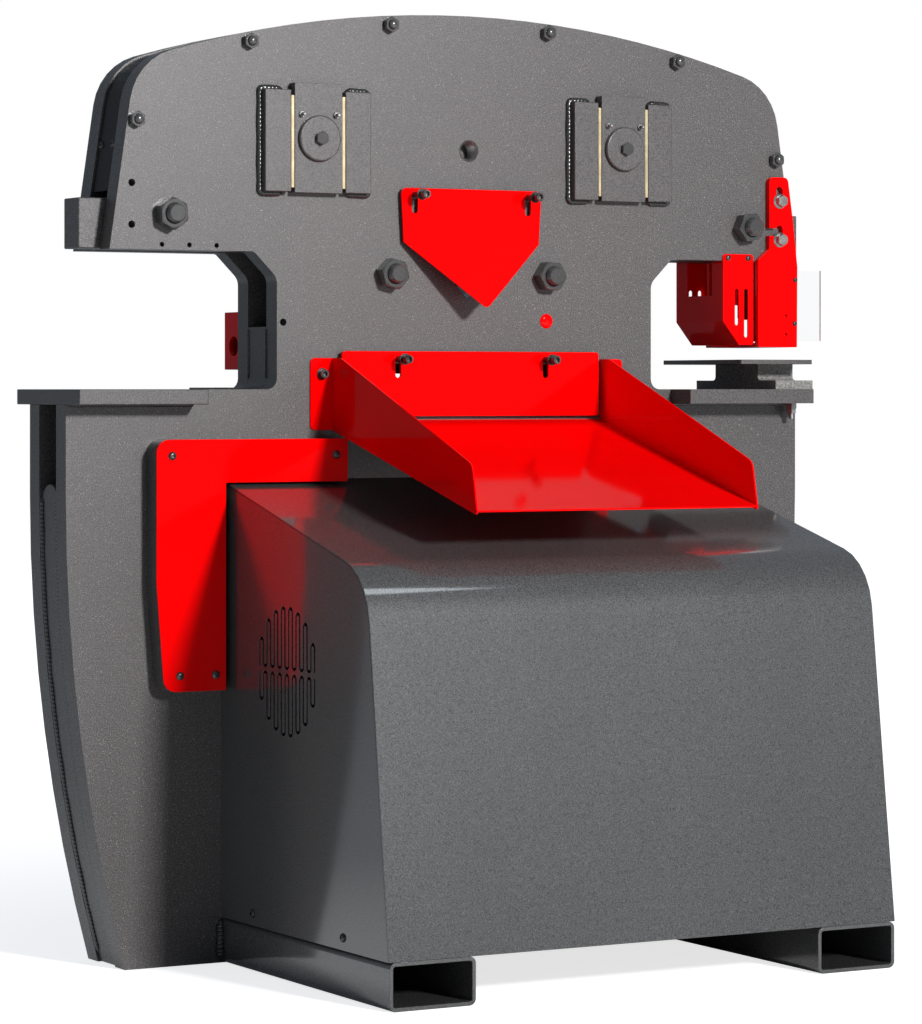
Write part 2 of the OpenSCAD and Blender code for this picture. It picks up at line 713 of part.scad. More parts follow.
// The rear arm is cut out below the punch holder
module stripper_arms() color(coat_red) {
    slab(-face_y - run_gap - stripper_t, -face_y - run_gap) difference() {
        stripper_outline();
        for (z = stripper_pin_rise) translate([punch_x + 12, stripper_z + z]) circle(2.8);
    }
    slab(face_y + run_gap, face_y + run_gap + stripper_t) difference() {
        stripper_outline();
        translate([punch_x + 2, stripper_z + 13]) square([stripper_x1 - punch_x + 10, 66]);
    }
}
module stripper_plate() color(coat_red) difference() {
    block(
        [stripper_x0, -face_y - run_gap, stripper_z],
        [stripper_x1, face_y + run_gap, stripper_z + stripper_plate_t]
    );
    block(
        [stripper_x0 - cut, -stripper_notch, stripper_z - cut],
        [punch_x + stripper_notch, stripper_notch, stripper_z + stripper_plate_t + cut]
    );
}
stripper_front_y = face_y + run_gap + stripper_t;
module stripper_bolts() color(bare_steel) front_and_rear() for (z = stripper_bolt_z)
    translate([stripper_bolt_x, -face_y, z]) rotate([90, 0, 0]) {
        reach = stripper_front_y - face_y + run_gap;
        cylinder(r = stripper_bolt_r, h = reach);
        translate([0, 0, reach]) cylinder(r1 = 13.5, r2 = 11, h = 3);
        translate([0, 0, reach + 3]) linear_extrude(9) hexagon(19);
    }
shield_t = 6;
shield_reach = 60;
module shield() color(clear_sheet) block(
    [stripper_x1 - 24, -face_y - run_gap, stripper_z + 12],
    [stripper_x1 + shield_reach, -face_y - run_gap + shield_t, roof_z - 15]
);
shroud_top = roof_z + 12;
shroud_z = stripper_z + 4;
shroud_slots = [[29.5, 35, 97], [49.5, 13, 97]];
module shroud_face() difference() {
    polygon(rounded([
        [shroud_x0, shroud_top, 6], [shroud_x1, shroud_top, 6], [shroud_x1, shroud_z, 3],
        [shroud_x0 + shroud_bevel.x, shroud_z, 3], [shroud_x0, shroud_z + shroud_bevel.y, 0]
    ]));
    for (s = shroud_slots) slot(shroud_x0 + s[0], shroud_z + s[1] + 4, shroud_z + s[2], 8);
    for (x = shroud_screw_x) translate([x, shroud_top - 7]) circle(3 + hole_gap);
}
shroud_screw_x = [shroud_x0 + 11, shroud_x1 - 11];
shroud_window = [[-ram_y - 11, roof_z - 62], [ram_y + 11, roof_z]];
module punch_shroud() color(coat_red) {
    front_and_rear() slab(-face_y - sheet_t, -face_y) shroud_face();
    difference() {
        block([shroud_x0, -face_y, shroud_z + shroud_bevel.y], [shroud_x0 + sheet_t, face_y, roof_z - 1]);
        block(
            [shroud_x0 - cut, shroud_window[0].x, shroud_window[0].y],
            [shroud_x0 + sheet_t + cut, shroud_window[1].x, shroud_window[1].y]
        );
    }
    slab(-face_y, face_y) polygon([
        [shroud_x0, shroud_z + shroud_bevel.y], [shroud_x0 + sheet_t, shroud_z + shroud_bevel.y],
        [shroud_x0 + shroud_bevel.x + sheet_t, shroud_z], [shroud_x0 + shroud_bevel.x, shroud_z]
    ]);
}

// Shear blades
function angle_blade_outline() = [
    [-angle_half, angle_point_z + angle_half], [0, angle_point_z],
    [angle_half, angle_point_z + angle_half],
    [angle_half + blade_t, angle_point_z + angle_half],
    [0, angle_point_z - blade_t], [-angle_half - blade_t, angle_point_z + angle_half]
];
module fixed_blades() color(tool_steel) {
    block([-shear_half, -blade_seat_y, shear_z - blade_h], [shear_half, -inner_y, shear_z]);
    slab(-blade_seat_y, -inner_y) polygon(angle_blade_outline());
}
module moving_blades() color(tool_steel) {
    slab(-ram_y - 1, -ram_y - 1 + blade_t) polygon([
        [-shear_half, ram_shear_top_z], [shear_half, ram_shear_top_z],
        [shear_half, shear_z + blade_rest_lift], [-shear_half, shear_z + blade_rest_lift + blade_rake]
    ]);
    slab(-ram_y - 1, -ram_y - 1 + blade_t) polygon([
        [-male_half, angle_top_z + ram_window_margin], [male_half, angle_top_z + ram_window_margin],
        [male_half, angle_point_z + male_lift + male_half], [0, angle_point_z + male_lift],
        [-male_half, angle_point_z + male_lift + male_half]
    ]);
}

// Ram
function ram_half() = [
    [0, ram_top_z], [ram_shoulder_x, ram_top_z], ram_elbow, ram_neck,
    [ram_neck.x, ram_floor_z + ram_end_h], [ram_end, ram_floor_z + ram_end_h], [ram_end, ram_floor_z],
    [web_half, ram_floor_z], [web_half, web_floor_z], [tail_half, tail_top_z], [tail_half, tail_floor_z],
    [0, tail_floor_z]
];
module ram_beam() color(coat_grey) difference() {
    slab(-ram_y, ram_y) union() {
        polygon(ram_half());
        polygon(flip_x(ram_half()));
    }
    slab(-ram_y - cut, ram_y + cut) {
        polygon(concat(
            [[-angle_half - ram_window_margin, angle_top_z + ram_window_margin]],
            [[angle_half + ram_window_margin, angle_top_z + ram_window_margin]],
            [for (i = [2 : 4]) angle_outline(ram_window_margin)[i]]
        ));
        translate([-shear_half - ram_window_margin, shear_z - 10])
            square([2 * (shear_half + ram_window_margin), ram_shear_top_z - shear_z + 10]);
        for (p = tie_points) slot(p.x, p.y, p.y + stroke + 2, 2 * tie_spacer_r + 6);
    }
}
module guide_slides() color(coat_grey) at_guides() {
    difference() {
        block(
            [-slide_w / 2, -face_y - rail_proud, slide_z0],
            [slide_w / 2, -face_y - run_gap, slide_z0 + slide_h]
        );
        pin_y([0, guide_z], cap_bolt_r + hole_gap, -face_y - rail_proud - cut, -face_y);
    }
    difference() {
        pin_y([0, guide_z], boss_r, -face_y - run_gap, -ram_y);
        pin_y([0, guide_z], cap_bolt_r + hole_gap, -face_y - cut, -ram_y + cut);
    }
}
cap_face_y = face_y + rail_proud;
module slide_caps() color(coat_grey) at_guides() difference() {
    translate([0, -cap_face_y, guide_z]) rotate([90, 0, 0]) union() {
        cylinder(r = cap_r, h = cap_t - 2);
        translate([0, 0, cap_t - 2]) cylinder(r1 = cap_r, r2 = cap_r - 2, h = 2);
    }
    pin_y([0, guide_z], cap_bolt_r + hole_gap, -cap_face_y - cap_t - cut, -cap_face_y + cut);
}
cap_bolt_l = cap_face_y + cap_t - ram_y;
module cap_bolt() rotate([90, 0, 0]) {
    linear_extrude(1.2 * cap_bolt_r) hexagon(3 * cap_bolt_r);
    translate([0, 0, -cap_bolt_l]) cylinder(r = cap_bolt_r, h = cap_bolt_l);
}
module cap_bolts() color(black_steel) at_guides() translate([0, -cap_face_y - cap_t, guide_z]) cap_bolt();
module grease_fittings() color(bare_steel) at_guides() left_and_right()
    translate([fitting_dx, -cap_face_y, guide_z + fitting_dz]) rotate([90, 0, 0]) {
        linear_extrude(4) hexagon(9);
        translate([0, 0, 4]) rotate_extrude() polygon([
            [0, 0], [3.2, 0], [2.2, 3], [3.2, 5], [3.2, 7], [2, 9], [0, 9]
        ]);
    }
holder_w = 80;
holder_h = 44;
spigot_z = ram_floor_z - 78;
punch_head_h = 16;
punch_head_r = 17;
nut_lip = 12;
module punch_holder() color(tool_steel) {
    block(
        [punch_x - holder_w / 2, -ram_y, ram_floor_z - holder_h],
        [punch_x + holder_w / 2, ram_y, ram_floor_z]
    );
    translate([punch_x, 0, spigot_z]) cylinder(r = spigot_r, h = ram_floor_z - holder_h - spigot_z);
}
nut_z = spigot_z - punch_head_h - nut_lip;
module punch_nut() color(black_steel) translate([punch_x, 0, nut_z]) rotate_extrude() polygon([
    [punch_r + 2.3, 0], [nut_r - 3, 0], [nut_r, 3], [nut_r, nut_lip + punch_head_h + 26],
    [spigot_r + hole_gap, nut_lip + punch_head_h + 26], [spigot_r + hole_gap, nut_lip],
    [punch_r + 2.3, nut_lip]
]);
module punch() color(tool_steel) translate([punch_x, 0, 0]) rotate_extrude() polygon([
    [0, punch_tip_z], [punch_r, punch_tip_z], [punch_r, punch_tip_z + 18], [punch_r + 2, punch_tip_z + 26],
    [punch_r + 2, spigot_z - punch_head_h], [punch_head_r, spigot_z - punch_head_h],
    [punch_head_r, spigot_z], [0, spigot_z]
]);

// Guards
module shear_guard() color(coat_red) slab(-shear_guard_y - shear_guard_t, -shear_guard_y) difference() {
    polygon(rounded([
        [-shear_guard_half, shear_guard_z[0], 4], [shear_guard_half, shear_guard_z[0], 4],
        [shear_guard_half, shear_guard_z[1], 6], [-shear_guard_half, shear_guard_z[1], 6]
    ]));
    for (s = [-1, 1]) slot(s * shear_screw.x, shear_screw.y - guard_travel - 1, shear_screw.y, guard_slot_w);
}
function guard_strip(
    top = [-angle_guard_y, angle_guard_top + cut], bend = [-angle_guard_y, angle_guard_bend],
    down = (angle_guard_drop + 6) * [-sin(guard_kick), -cos(guard_kick)],
    out = guard_sheet * [-cos(guard_kick), sin(guard_kick)]
) = [
    top, bend, bend + down, bend + down + out,
    bend + guard_sheet * [-1, tan(guard_kick / 2)], top - [guard_sheet, 0]
];
module angle_guard() color(coat_red) intersection() {
    bar(-angle_guard_half - cut, angle_guard_half + cut) polygon(guard_strip());
    slab(-angle_guard_y - angle_guard_drop, -angle_guard_y + cut) difference() {
        polygon(rounded([
            [angle_guard_half - guard_taper, angle_guard_bend, 0], [angle_guard_half, angle_guard_top, 10],
            [-angle_guard_half, angle_guard_top, 10], [guard_taper - angle_guard_half, angle_guard_bend, 0],
            [0, angle_guard_bend - (angle_guard_drop + 4) * cos(guard_kick), 9]
        ]));
        for (s = [-1, 1])
            slot(s * angle_screw.x, angle_screw.y - guard_travel - 1, angle_screw.y, guard_slot_w);
    }
}
// Long screws that carry the two hanging guards, with a sleeve behind and a washer before each
module collar(p, r, y0, y1) difference() {
    pin_y(p, r, y0, y1);
    pin_y(p, guard_r + hole_gap / 3, y0 - cut, y1 + cut);
}
module guard_screw_pair(at, y) {
    for (s = [-1, 1]) {
        p = [s * at.x, at.y];
        cap_screw(p, guard_r, -guard_head_y, -face_y);
        collar(p, 2 * guard_r, -washer_y, -washer_y + 2);
        collar(p, 1.7 * guard_r, -y + run_gap, -face_y);
    }
}
module guard_screws() color(black_steel) {
    guard_screw_pair(shear_screw, shear_guard_y);
    guard_screw_pair(angle_screw, angle_guard_y);
    for (s = [-1, 1]) {
        at = [s * chute_screw.x, chute_screw.y];
        cap_screw(at, guard_r, -face_y - sheet_t - 2 * guard_r - 2, -face_y);
        collar(at, 2 * guard_r, -face_y - sheet_t - 2, -face_y - sheet_t);
    }
}
module chute_wing() bar(chute_half - sheet_t, chute_half) polygon(rounded([
    [-face_y, chute_back_z[0], 0], [-face_y, chute_back_z[1], 0],
    [-face_y - chute_level, chute_back_z[1], 12],
    [-face_y - chute_reach + 16, chute_front_z[1], 22], [-face_y - chute_reach, chute_front_z[0], 4]
]));
module chute() color(coat_red) {
    left_and_right() {
        chute_wing();
        slab(-face_y - sheet_t, -face_y) difference() {
            polygon(rounded([
                [chute_half - sheet_t, chute_back_z[0], 0], [chute_half + chute_flange, chute_back_z[0], 8],
                [chute_half + chute_flange, chute_back_z[1], 8], [chute_half - sheet_t, chute_back_z[1], 0]
            ]));
            translate(chute_screw) circle(guard_r + hole_gap);
        }
    }
    bar(-chute_half, chute_half) polygon([
        [-face_y, chute_floor_z[0]], [-face_y, chute_floor_z[0] + sheet_t],
        [-face_y - chute_reach, chute_floor_z[1] + sheet_t], [-face_y - chute_reach, chute_floor_z[1]]
    ]);
}
function plug_profile() = concat(
    [[0, -12], [plug_r - hole_gap, -12], [plug_r - hole_gap, 0], [plug_r + 4, 0]],
    [for (a = [15 : 15 : 90]) [(plug_r + 4) * cos(a), 4 * sin(a)]]
);
module plug() color(coat_red) translate([plug_at.x, -face_y, plug_at.y]) rotate([90, 0, 0])
    rotate_extrude() polygon(plug_profile());

// Side cover
function cover_outline(i, lap = 0) = rounded([
    [box_x[0] + i, box_z[1] - i, 22], [box_x[1] - i, box_z[1] - i, 3], [box_x[1] - i, box_leg_z - lap + i, 3],
    [box_leg_x - i, box_leg_z - lap + i, 3], [box_leg_x - i, box_z[0] + i, 3],
    [box_x[0] + 14 + i, box_z[0] + i, 22], [box_x[0] + i, box_z[0] + 180, 0]
]);
cover_screw_at = [
    [box_x[0] + 28, box_z[1] - 27], [box_x[1] - 22, box_z[1] - 27],
    [box_x[0] + 42, box_z[0] + 26], [box_leg_x - 19, box_z[0] + 26]
];
module side_box() color(coat_grey) slab(-face_y - box_depth, -face_y) difference() {
    polygon(cover_outline(0));
    polygon(cover_outline(sheet_t));
}
module side_cover() color(coat_red) slab(-face_y - box_depth - sheet_t, -face_y - box_depth) difference() {
    polygon(cover_outline(0, 5));
    for (p = cover_screw_at) translate(p) circle(4 + hole_gap);
}
module cover_screws() color(black_steel) {
    for (p = cover_screw_at) translate([p.x, -face_y - box_depth - sheet_t, p.y]) rotate([90, 0, 0])
        button_screw(4, sheet_t);
    front_and_rear() for (x = shroud_screw_x) translate([x, -face_y - sheet_t, shroud_top - 7])
        rotate([90, 0, 0]) button_screw(3, sheet_t);
    left_and_right() for (y = hood_screw_y) translate([hood_half, y, hood_screw_z]) rotate([0, 90, 0])
        button_screw(4, sheet_t);
    left_and_right() for (z = rear_cover_z) translate([rear_cover_half - 16, face_y + sheet_t, z])
        rotate([-90, 0, 0]) button_screw(4, sheet_t);
}

// Hood
hood_d = [-cos(hood_slope), -sin(hood_slope)];
hood_n = [sin(hood_slope), -cos(hood_slope)];
hood_e = [sin(hood_lean), cos(hood_lean)];
hood_m = [cos(hood_lean), -sin(hood_lean)];
// Hood line from the plate to the foot, drawn in by i
function hood_line(i) = let (
    k = meet(hood_p0 + i * hood_n, hood_d, hood_f0 + i * hood_m, hood_e),
    a = meet(hood_p0 + i * hood_n, hood_d, hood_p0, [0, 1]),
    b = meet(hood_f0 + i * hood_m, hood_e, hood_f0, [1, 0])
) concat([a], corner(a, [k.x, k.y, hood_r - i], b), [b]);
module hood() color(coat_grey) bar(-hood_half, hood_half)
    polygon(concat(hood_line(0), back(hood_line(sheet_t))));
// Serpentine slot: upright runs joined by half turns, half a disc high
vent_pitch = vent_r / vent_pairs;
function vent_top(j) = sqrt(pow(vent_r, 2) - pow((2 * j + 1 - vent_pairs) * vent_pitch, 2)) - vent_pitch;
function vent_turn(x, z, a0, a1, side, w) =
    arc([x, z], vent_pitch / 2 + side * w, a0, a1, 6);
function vent_side(w) = [
    for (j = [0 : vent_pairs - 1]) let (x = (2 * j + 1 - vent_pairs) * vent_pitch) each concat(
        j == 0 ? [[x - vent_pitch / 2 - w, vent_bridge]] : [],
        vent_turn(x, vent_bridge + vent_pitch + max(vent_top(j), vent_pitch) - vent_pitch, 180, 0, 1, w),
        j == vent_pairs - 1 ? [[x + vent_pitch / 2 + w, vent_bridge]]
            : vent_turn(x + vent_pitch, vent_bridge + vent_pitch / 2, 180, 360, -1, w)
    )
];
module vent() translate([vent_y, vent_z]) for (turn = [0, 180]) rotate(turn)
    polygon(concat(vent_side(vent_slot / 2), back(vent_side(-vent_slot / 2))));
module hood_side() bar(hood_half - sheet_t, hood_half) difference() {
    polygon(concat(hood_line(sheet_t), [[-face_y, hood_base_z]]));
    vent();
    for (y = hood_screw_y) translate([y, hood_screw_z]) circle(4 + hole_gap);
}
module hood_sides() color(coat_grey) left_and_right() hood_side();
module fork_tubes() color(coat_grey) for (s = [-1, 1]) translate([s * tube_x, 0, tube_h / 2])
    slab(-face_y - hood_reach, -face_y) difference() {
        round_rect(tube_w, tube_h, tube_r);
        round_rect(tube_w - 2 * tube_wall, tube_h - 2 * tube_wall, tube_r - tube_wall);
    }
mount_w = 60;
module base_pan() color(coat_grey) {
    block(
        [-hood_half + sheet_t, -face_y - hood_reach + 20, tube_h],
        [hood_half - sheet_t, -face_y, pan_z]
    );
    // motor saddles
    for (x = [motor_x0 + 40, motor_x1 - 40 - mount_w / 2]) difference() {
        block([x, motor_y - motor_r, pan_z], [x + mount_w / 2, motor_y + motor_r, motor_z - motor_r / 2]);
        pin_x([motor_y, motor_z], motor_r + 8 + hole_gap, x - cut, x + mount_w / 2 + cut);
    }
}

// Power pack
fin_count = 28;
module motor() color(motor_blue) difference() {
    union() {
        bar(motor_x0 + 50, motor_x1 - 20) translate([motor_y, motor_z]) {
            circle(motor_r);
            for (i = [0 : fin_count - 1]) rotate(360 * i / fin_count)
                translate([0, -2]) square([motor_r + 8, 4]);
        }
        pin_x([motor_y, motor_z], motor_r + 6, motor_x1 - 20, motor_x1);
        pin_x([motor_y, motor_z], motor_r + 6, motor_x0, motor_x0 + 50);
        block(
            [motor_x0 + terminal_x[0], motor_y - terminal_half, motor_z + motor_r - 4],
            [motor_x0 + terminal_x[1], motor_y + terminal_half, motor_z + motor_r + terminal_h]
        );
    }
    pin_x([motor_y, motor_z], shaft_r + slip_gap, motor_x1 - 60, motor_x1 + cut);
}
bell_x1 = motor_x1 + bell_l;
hub_r = 32;
module bell_housing() color(coat_grey) difference() {
    union() {
        pin_x([motor_y, motor_z], motor_r, motor_x1, motor_x1 + 14);
        pin_x([motor_y, motor_z], hub_r + 20, motor_x1, bell_x1);
    }
    pin_x([motor_y, motor_z], hub_r + 8, motor_x1 - cut, bell_x1 + cut);
    block([motor_x1 + 30, motor_y - 25, motor_z], [bell_x1 - 20, motor_y + 25, motor_z + hub_r + 30]);
}
module pump() color(black_steel) difference() {
    union() {
        pin_x([motor_y, motor_z], hub_r + 20, bell_x1, bell_x1 + 16);
        bar(bell_x1 + 16, bell_x1 + pump_l) translate([motor_y, motor_z]) round_rect(pump_w, pump_h, 16);
        translate([bell_x1 + pump_l / 2 + 8, motor_y, motor_z + 40]) cylinder(r = port_r, h = 30);
    }
    pin_x([motor_y, motor_z], shaft_r + slip_gap, bell_x1 - cut, bell_x1 + 30);
}
module drive_shaft() color(bare_steel) {
    pin_x([motor_y, motor_z], shaft_r, motor_x1 - 55, bell_x1 + 26);
    for (x = [motor_x1 + 18, bell_x1 - 46]) pin_x([motor_y, motor_z], hub_r, x, x + 30);
    for (i = [0 : 2]) translate([0, motor_y, motor_z]) rotate([120 * i, 0, 0])
        block([motor_x1 + 46, -7, shaft_r - 2], [bell_x1 - 44, 7, hub_r - 3]);
}
module oil_tank() color(coat_grey) difference() {
    block([tank_x[0], tank_y[0], pan_z], [tank_x[1], tank_y[1], tank_z1]);
    block(
        [tank_x[0] + tank_wall, tank_y[0] + tank_wall, pan_z + tank_wall],
        [tank_x[1] - tank_wall, tank_y[1] - tank_wall, tank_z1 + cut]
    );
}
lid_z = tank_z1 + lid_t;
module tank_lid() color(coat_grey) {
    block([tank_x[0] - 4, tank_y[0] - 4, tank_z1], [tank_x[1] + 4, tank_y[1] + 4, lid_z]);
    translate([tank_x[1] - 60, tank_y[0] + 60, lid_z]) {
        cylinder(r = 22, h = 18);
        translate([0, 0, 18]) cylinder(r = 32, h = 16);
    }
}
valve_port_x = [valve_x[0] + 35, valve_x[1] - 35];
valve_port_z = lid_z + valve_h / 2;
module valve_block() color(bare_steel) {
    block([valve_x[0], valve_y[0], lid_z], [valve_x[1], valve_y[1], lid_z + valve_h]);
    for (x = [valve_x[0] - 50, valve_x[1]])
        pin_x([(valve_y[0] + valve_y[1]) / 2, valve_port_z], 26, x, x + 50);
    for (x = valve_port_x) pin_y([x, valve_port_z], port_r, valve_y[1], valve_y[1] + 12);
}
hose_sides = 10;
hose_rings = 20;
function mix(a, b, t) = (1 - t) * a + t * b;
function quad(p, t) = mix(mix(p[0], p[1], t), mix(p[1], p[2], t), t);
function bezier(p, t) = mix(quad([p[0], p[1], p[2]], t), quad([p[1], p[2], p[3]], t), t);
function slope(p, t) = unit(quad([p[1], p[2], p[3]], t) - quad([p[0], p[1], p[2]], t));
// Tube of radius r along a cubic curve
module hose(p, r) {
    pts = [for (i = [0 : hose_rings]) let (
        c = bezier(p, i / hose_rings),
        d = slope(p, i / hose_rings),
        u = unit(cross(d, [0, 0, 1])),
        v = cross(d, u)
    ) for (k = [0 : hose_sides - 1]) let (a = 360 * k / hose_sides) c + r * (cos(a) * u + sin(a) * v)];
    sides = [for (i = [0 : hose_rings - 1]) for (k = [0 : hose_sides - 1]) let (
        a = i * hose_sides + k,
        b = i * hose_sides + (k + 1) % hose_sides
    ) each [[a, b, b + hose_sides], [a, b + hose_sides, a + hose_sides]]];
    first = [for (k = [1 : hose_sides - 2]) [0, k + 1, k]];
    last_at = hose_rings * hose_sides;
    last = [for (k = [1 : hose_sides - 2]) [last_at, last_at + k, last_at + k + 1]];
    polyhedron(points = pts, faces = concat(sides, first, last));
}
module hoses() color(rubber_black) for (i = [0, 1]) {
    start = [0, -port_y, port_z[1 - i]];
    end = [valve_port_x[i], valve_y[1] + 12, valve_port_z];
    hose([start, start - [0, 110, 0], end + [0, 110, 0], end], hose_r);
}
barrel_top = cyl_foot_z + cyl_l;
module cylinder_barrel() rotate_extrude() polygon([
    [0, cyl_foot_z], [cyl_r, cyl_foot_z], [cyl_r, barrel_top], [bore_r + slip_gap, barrel_top],
    [bore_r + slip_gap, cyl_foot_z + 25], [0, cyl_foot_z + 25]
]);
module cylinder_body() color(black_steel) difference() {
    union() {
        cylinder_barrel();
        for (z = port_z) pin_y([0, z], port_r, -port_y, -(cyl_r + bore_r) / 2);
    }
    for (z = port_z) pin_y([0, z], 6, -port_y + 20, -bore_r + 5);
}
module cylinder_gland() color(bare_steel) translate([0, 0, barrel_top]) difference() {
    cylinder(r = cyl_r, h = gland_h);
    translate([0, 0, -cut]) cylinder(r = rod_r + slip_gap, h = gland_h + 2 * cut);
}
piston_z = barrel_top - 130;
piston_h = 40;
module cylinder_rod() color(bare_steel) {
    translate([0, 0, piston_z]) cylinder(r = bore_r, h = piston_h);
    translate([0, 0, piston_z + piston_h]) cylinder(r = rod_r, h = tail_floor_z - 20 - piston_z - piston_h);
    translate([0, 0, tail_floor_z - 20]) cylinder(r = rod_r + 10, h = 20);
}

// Rear side
rear_cover_half = cyl_r + 50;
rear_cover_z = [cyl_foot_z - 20, tail_floor_z + 30];
module rear_cover() color(coat_grey) slab(face_y, face_y + sheet_t) difference() {
    translate([0, (rear_cover_z[0] + rear_cover_z[1]) / 2])
        round_rect(2 * rear_cover_half, rear_cover_z[1] - rear_cover_z[0] + 32, 8);
    for (x = [-1, 1]) for (z = rear_cover_z) translate([x * (rear_cover_half - 16), z]) circle(4 + hole_gap);
}
feed_half = throat_half + 10;
feed_depth = 175;
feed_t = 5;
gusset_h = 110;
module feed_table() color(coat_grey) {
    block([-feed_half, face_y, shear_z - feed_t], [feed_half, face_y + feed_depth, shear_z]);
    left_and_right() bar(feed_half - 40, feed_half - 32) polygon([
        [face_y, shear_z - feed_t / 2], [face_y + feed_depth - 20, shear_z - feed_t / 2],
        [face_y + feed_depth - 20, shear_z - feed_t], [face_y, shear_z - feed_t - gusset_h]
    ]);
}
hold_half = throat_half - 30;
hold_reach = 115;
hold_t = 8;
hold_z = [table_z + 34, table_z + 134];
hold_eye_r = 17;
hold_eye_in = 36;
hold_eye_rise = 41;
module hold_down() color(coat_red) {
    left_and_right() difference() {
        block([hold_half - hold_t, face_y, hold_z[0]], [hold_half, face_y + hold_reach, hold_z[1]]);
        pin_x(
            [face_y + hold_reach - hold_eye_in, hold_z[0] + hold_eye_rise], hold_eye_r,
            hold_half - hold_t - cut, hold_half + cut
        );
    }
    slab(face_y + hold_reach - hold_t, face_y + hold_reach)
        translate([0, (hold_z[0] + hold_z[1]) / 2]) round_rect(2 * hold_half, hold_z[1] - hold_z[0], 3);
}

front_plate();
rear_plate();
frame_spacers();
edge_strips();
crown_cover();
tie_rods();
tie_spacers();
tie_nuts();
rim_studs();
guide_rails();
gib_strips();
left_table();
right_table();
bolster();
die();
gauging_table();
table_bolts();
fixed_blades();
chute();
side_box();
side_cover();
cover_screws();
hood();
hood_sides();
fork_tubes();
base_pan();
motor();
bell_housing();
pump();
oil_tank();
tank_lid();
valve_block();
hoses();
cylinder_body();
cylinder_gland();
punch_shroud();
guard_screws();
stripper_bolts();
plug();
rear_cover();
feed_table();
hold_down();
ram_beam();
guide_slides();
slide_caps();
cap_bolts();
grease_fittings();
punch_holder();
punch_nut();
punch();
moving_blades();
cylinder_rod();
angle_guard();
shear_guard();
stripper_arms();
stripper_plate();
shield();
drive_shaft();
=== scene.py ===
"""Looks of a hydraulic ironworker: powder-coated plates, red guards, brass gibs and steel fasteners."""

import json
import math

import bmesh
import bpy
import numpy as np
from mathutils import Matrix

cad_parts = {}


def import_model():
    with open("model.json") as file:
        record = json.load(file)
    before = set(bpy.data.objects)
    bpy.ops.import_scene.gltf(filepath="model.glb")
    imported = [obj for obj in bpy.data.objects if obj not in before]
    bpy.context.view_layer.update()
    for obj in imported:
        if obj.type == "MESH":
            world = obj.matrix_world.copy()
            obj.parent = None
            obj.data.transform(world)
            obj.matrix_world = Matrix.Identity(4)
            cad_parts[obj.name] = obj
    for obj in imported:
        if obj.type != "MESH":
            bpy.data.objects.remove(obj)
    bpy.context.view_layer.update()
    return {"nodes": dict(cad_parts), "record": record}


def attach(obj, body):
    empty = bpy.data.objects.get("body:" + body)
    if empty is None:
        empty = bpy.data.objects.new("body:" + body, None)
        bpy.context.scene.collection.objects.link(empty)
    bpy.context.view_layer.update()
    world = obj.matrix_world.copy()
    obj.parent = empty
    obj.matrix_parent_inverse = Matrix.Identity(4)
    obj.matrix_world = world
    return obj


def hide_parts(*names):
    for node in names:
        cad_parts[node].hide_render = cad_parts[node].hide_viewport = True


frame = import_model()
nodes = frame["nodes"]
scene = bpy.context.scene

# Sizes of the machine in metres, in the CAD frame
FACE, INNER = 0.075, 0.035  # outer and inner faces of the frame plates
ROOF = 1.188  # roof of the throats, foot of the arms
TOP, CROWN_R = 1.602, 2.0  # top of the crown and radius of its arc
ARM_EDGE = 0.678  # outer edge of the arms at their foot
ARM_LEAN = math.radians(8.5)  # lean of that edge
FLANK_R, FLANK_TOP = 2.925, 0.78  # arc that draws the flanks in, and where it starts
FLANK_EDGES = ((-1, 0.756), (1, 0.680))  # side of each flank and its furthest reach
THROAT_X, THROAT_LOW, THROAT_HIGH = 0.371, 0.975, 1.060  # upright weld at the back of each throat
FORK_IN, FORK_OUT = 0.3216, 0.474  # side walls of the fork tubes
TABLE, TABLE_T = 0.957, 0.0254  # table tops and thickness
TABLE_ENDS = ((-0.754, -0.526), (0.415, 0.674))  # stretches where the tables lie on the plates
GUIDE_X, GUIDE_Z = 0.302, 1.380  # middle of the ram guides
CAP_FACE = FACE + 0.028  # outer faces of the slide caps
RAIL_IN, RAIL_OUT = 0.058, 0.1003  # welded rails, across from the guide's middle
RAIL_LOW, RAIL_HIGH = 1.289, 1.461  # lower and upper ends of the rails
TIE_POINTS = np.array([[-0.571, 1.248], [-0.156, 1.154], [0.156, 1.154], [0.571, 1.248]])
TIE_R, TIE_PITCH, TIE_PAST_NUT = 0.0159, 0.0036, 0.012
NUT_AF, NUT_H = 0.0477, 0.02544
RIM_X = np.array([-0.423, -0.156, 0.156, 0.423])  # rim studs along the crown
RIM_R, RIM_NUT_AF, RIM_NUT_H = 0.008, 0.024, 0.0128
FIT = 0.0001  # bores are wider than their rods by this
EYE_Z, EYE_R = 1.369, 0.0149  # middle of the lifting eye and widest bore of its thread
STRIPPER_BOLTS = np.array([[0.638, 1.227], [0.638, 1.297]])

# Small screws: the faces they sit on and their places there
COVER_FACE, SHEET_FACE, HOOD_SIDE, SHIELD_FACE = 0.115, 0.078, 0.475, 0.0869
SIDE_COVER_SCREWS = ((-0.583, 0.847), (-0.279, 0.847), (-0.569, 0.484), (-0.504, 0.484))
SHROUD_SCREWS_X, SHROUD_SCREWS_Z = (0.533, 0.576), 1.193
HOOD_SCREWS_Y, HOOD_SCREWS_Z = (-0.196, -0.516), 0.0962
REAR_SCREWS_X, REAR_SCREWS_Z = (-0.104, 0.104), (0.210, 0.730)
SHIELD_SCREWS = ((0.671, 1.076), (0.672, 1.155))
CROWN_SCREWS_Y, CROWN_SCREWS_UP, CROWN_SCREWS_IN = (-0.0235, 0.0235), 0.179, 0.0035

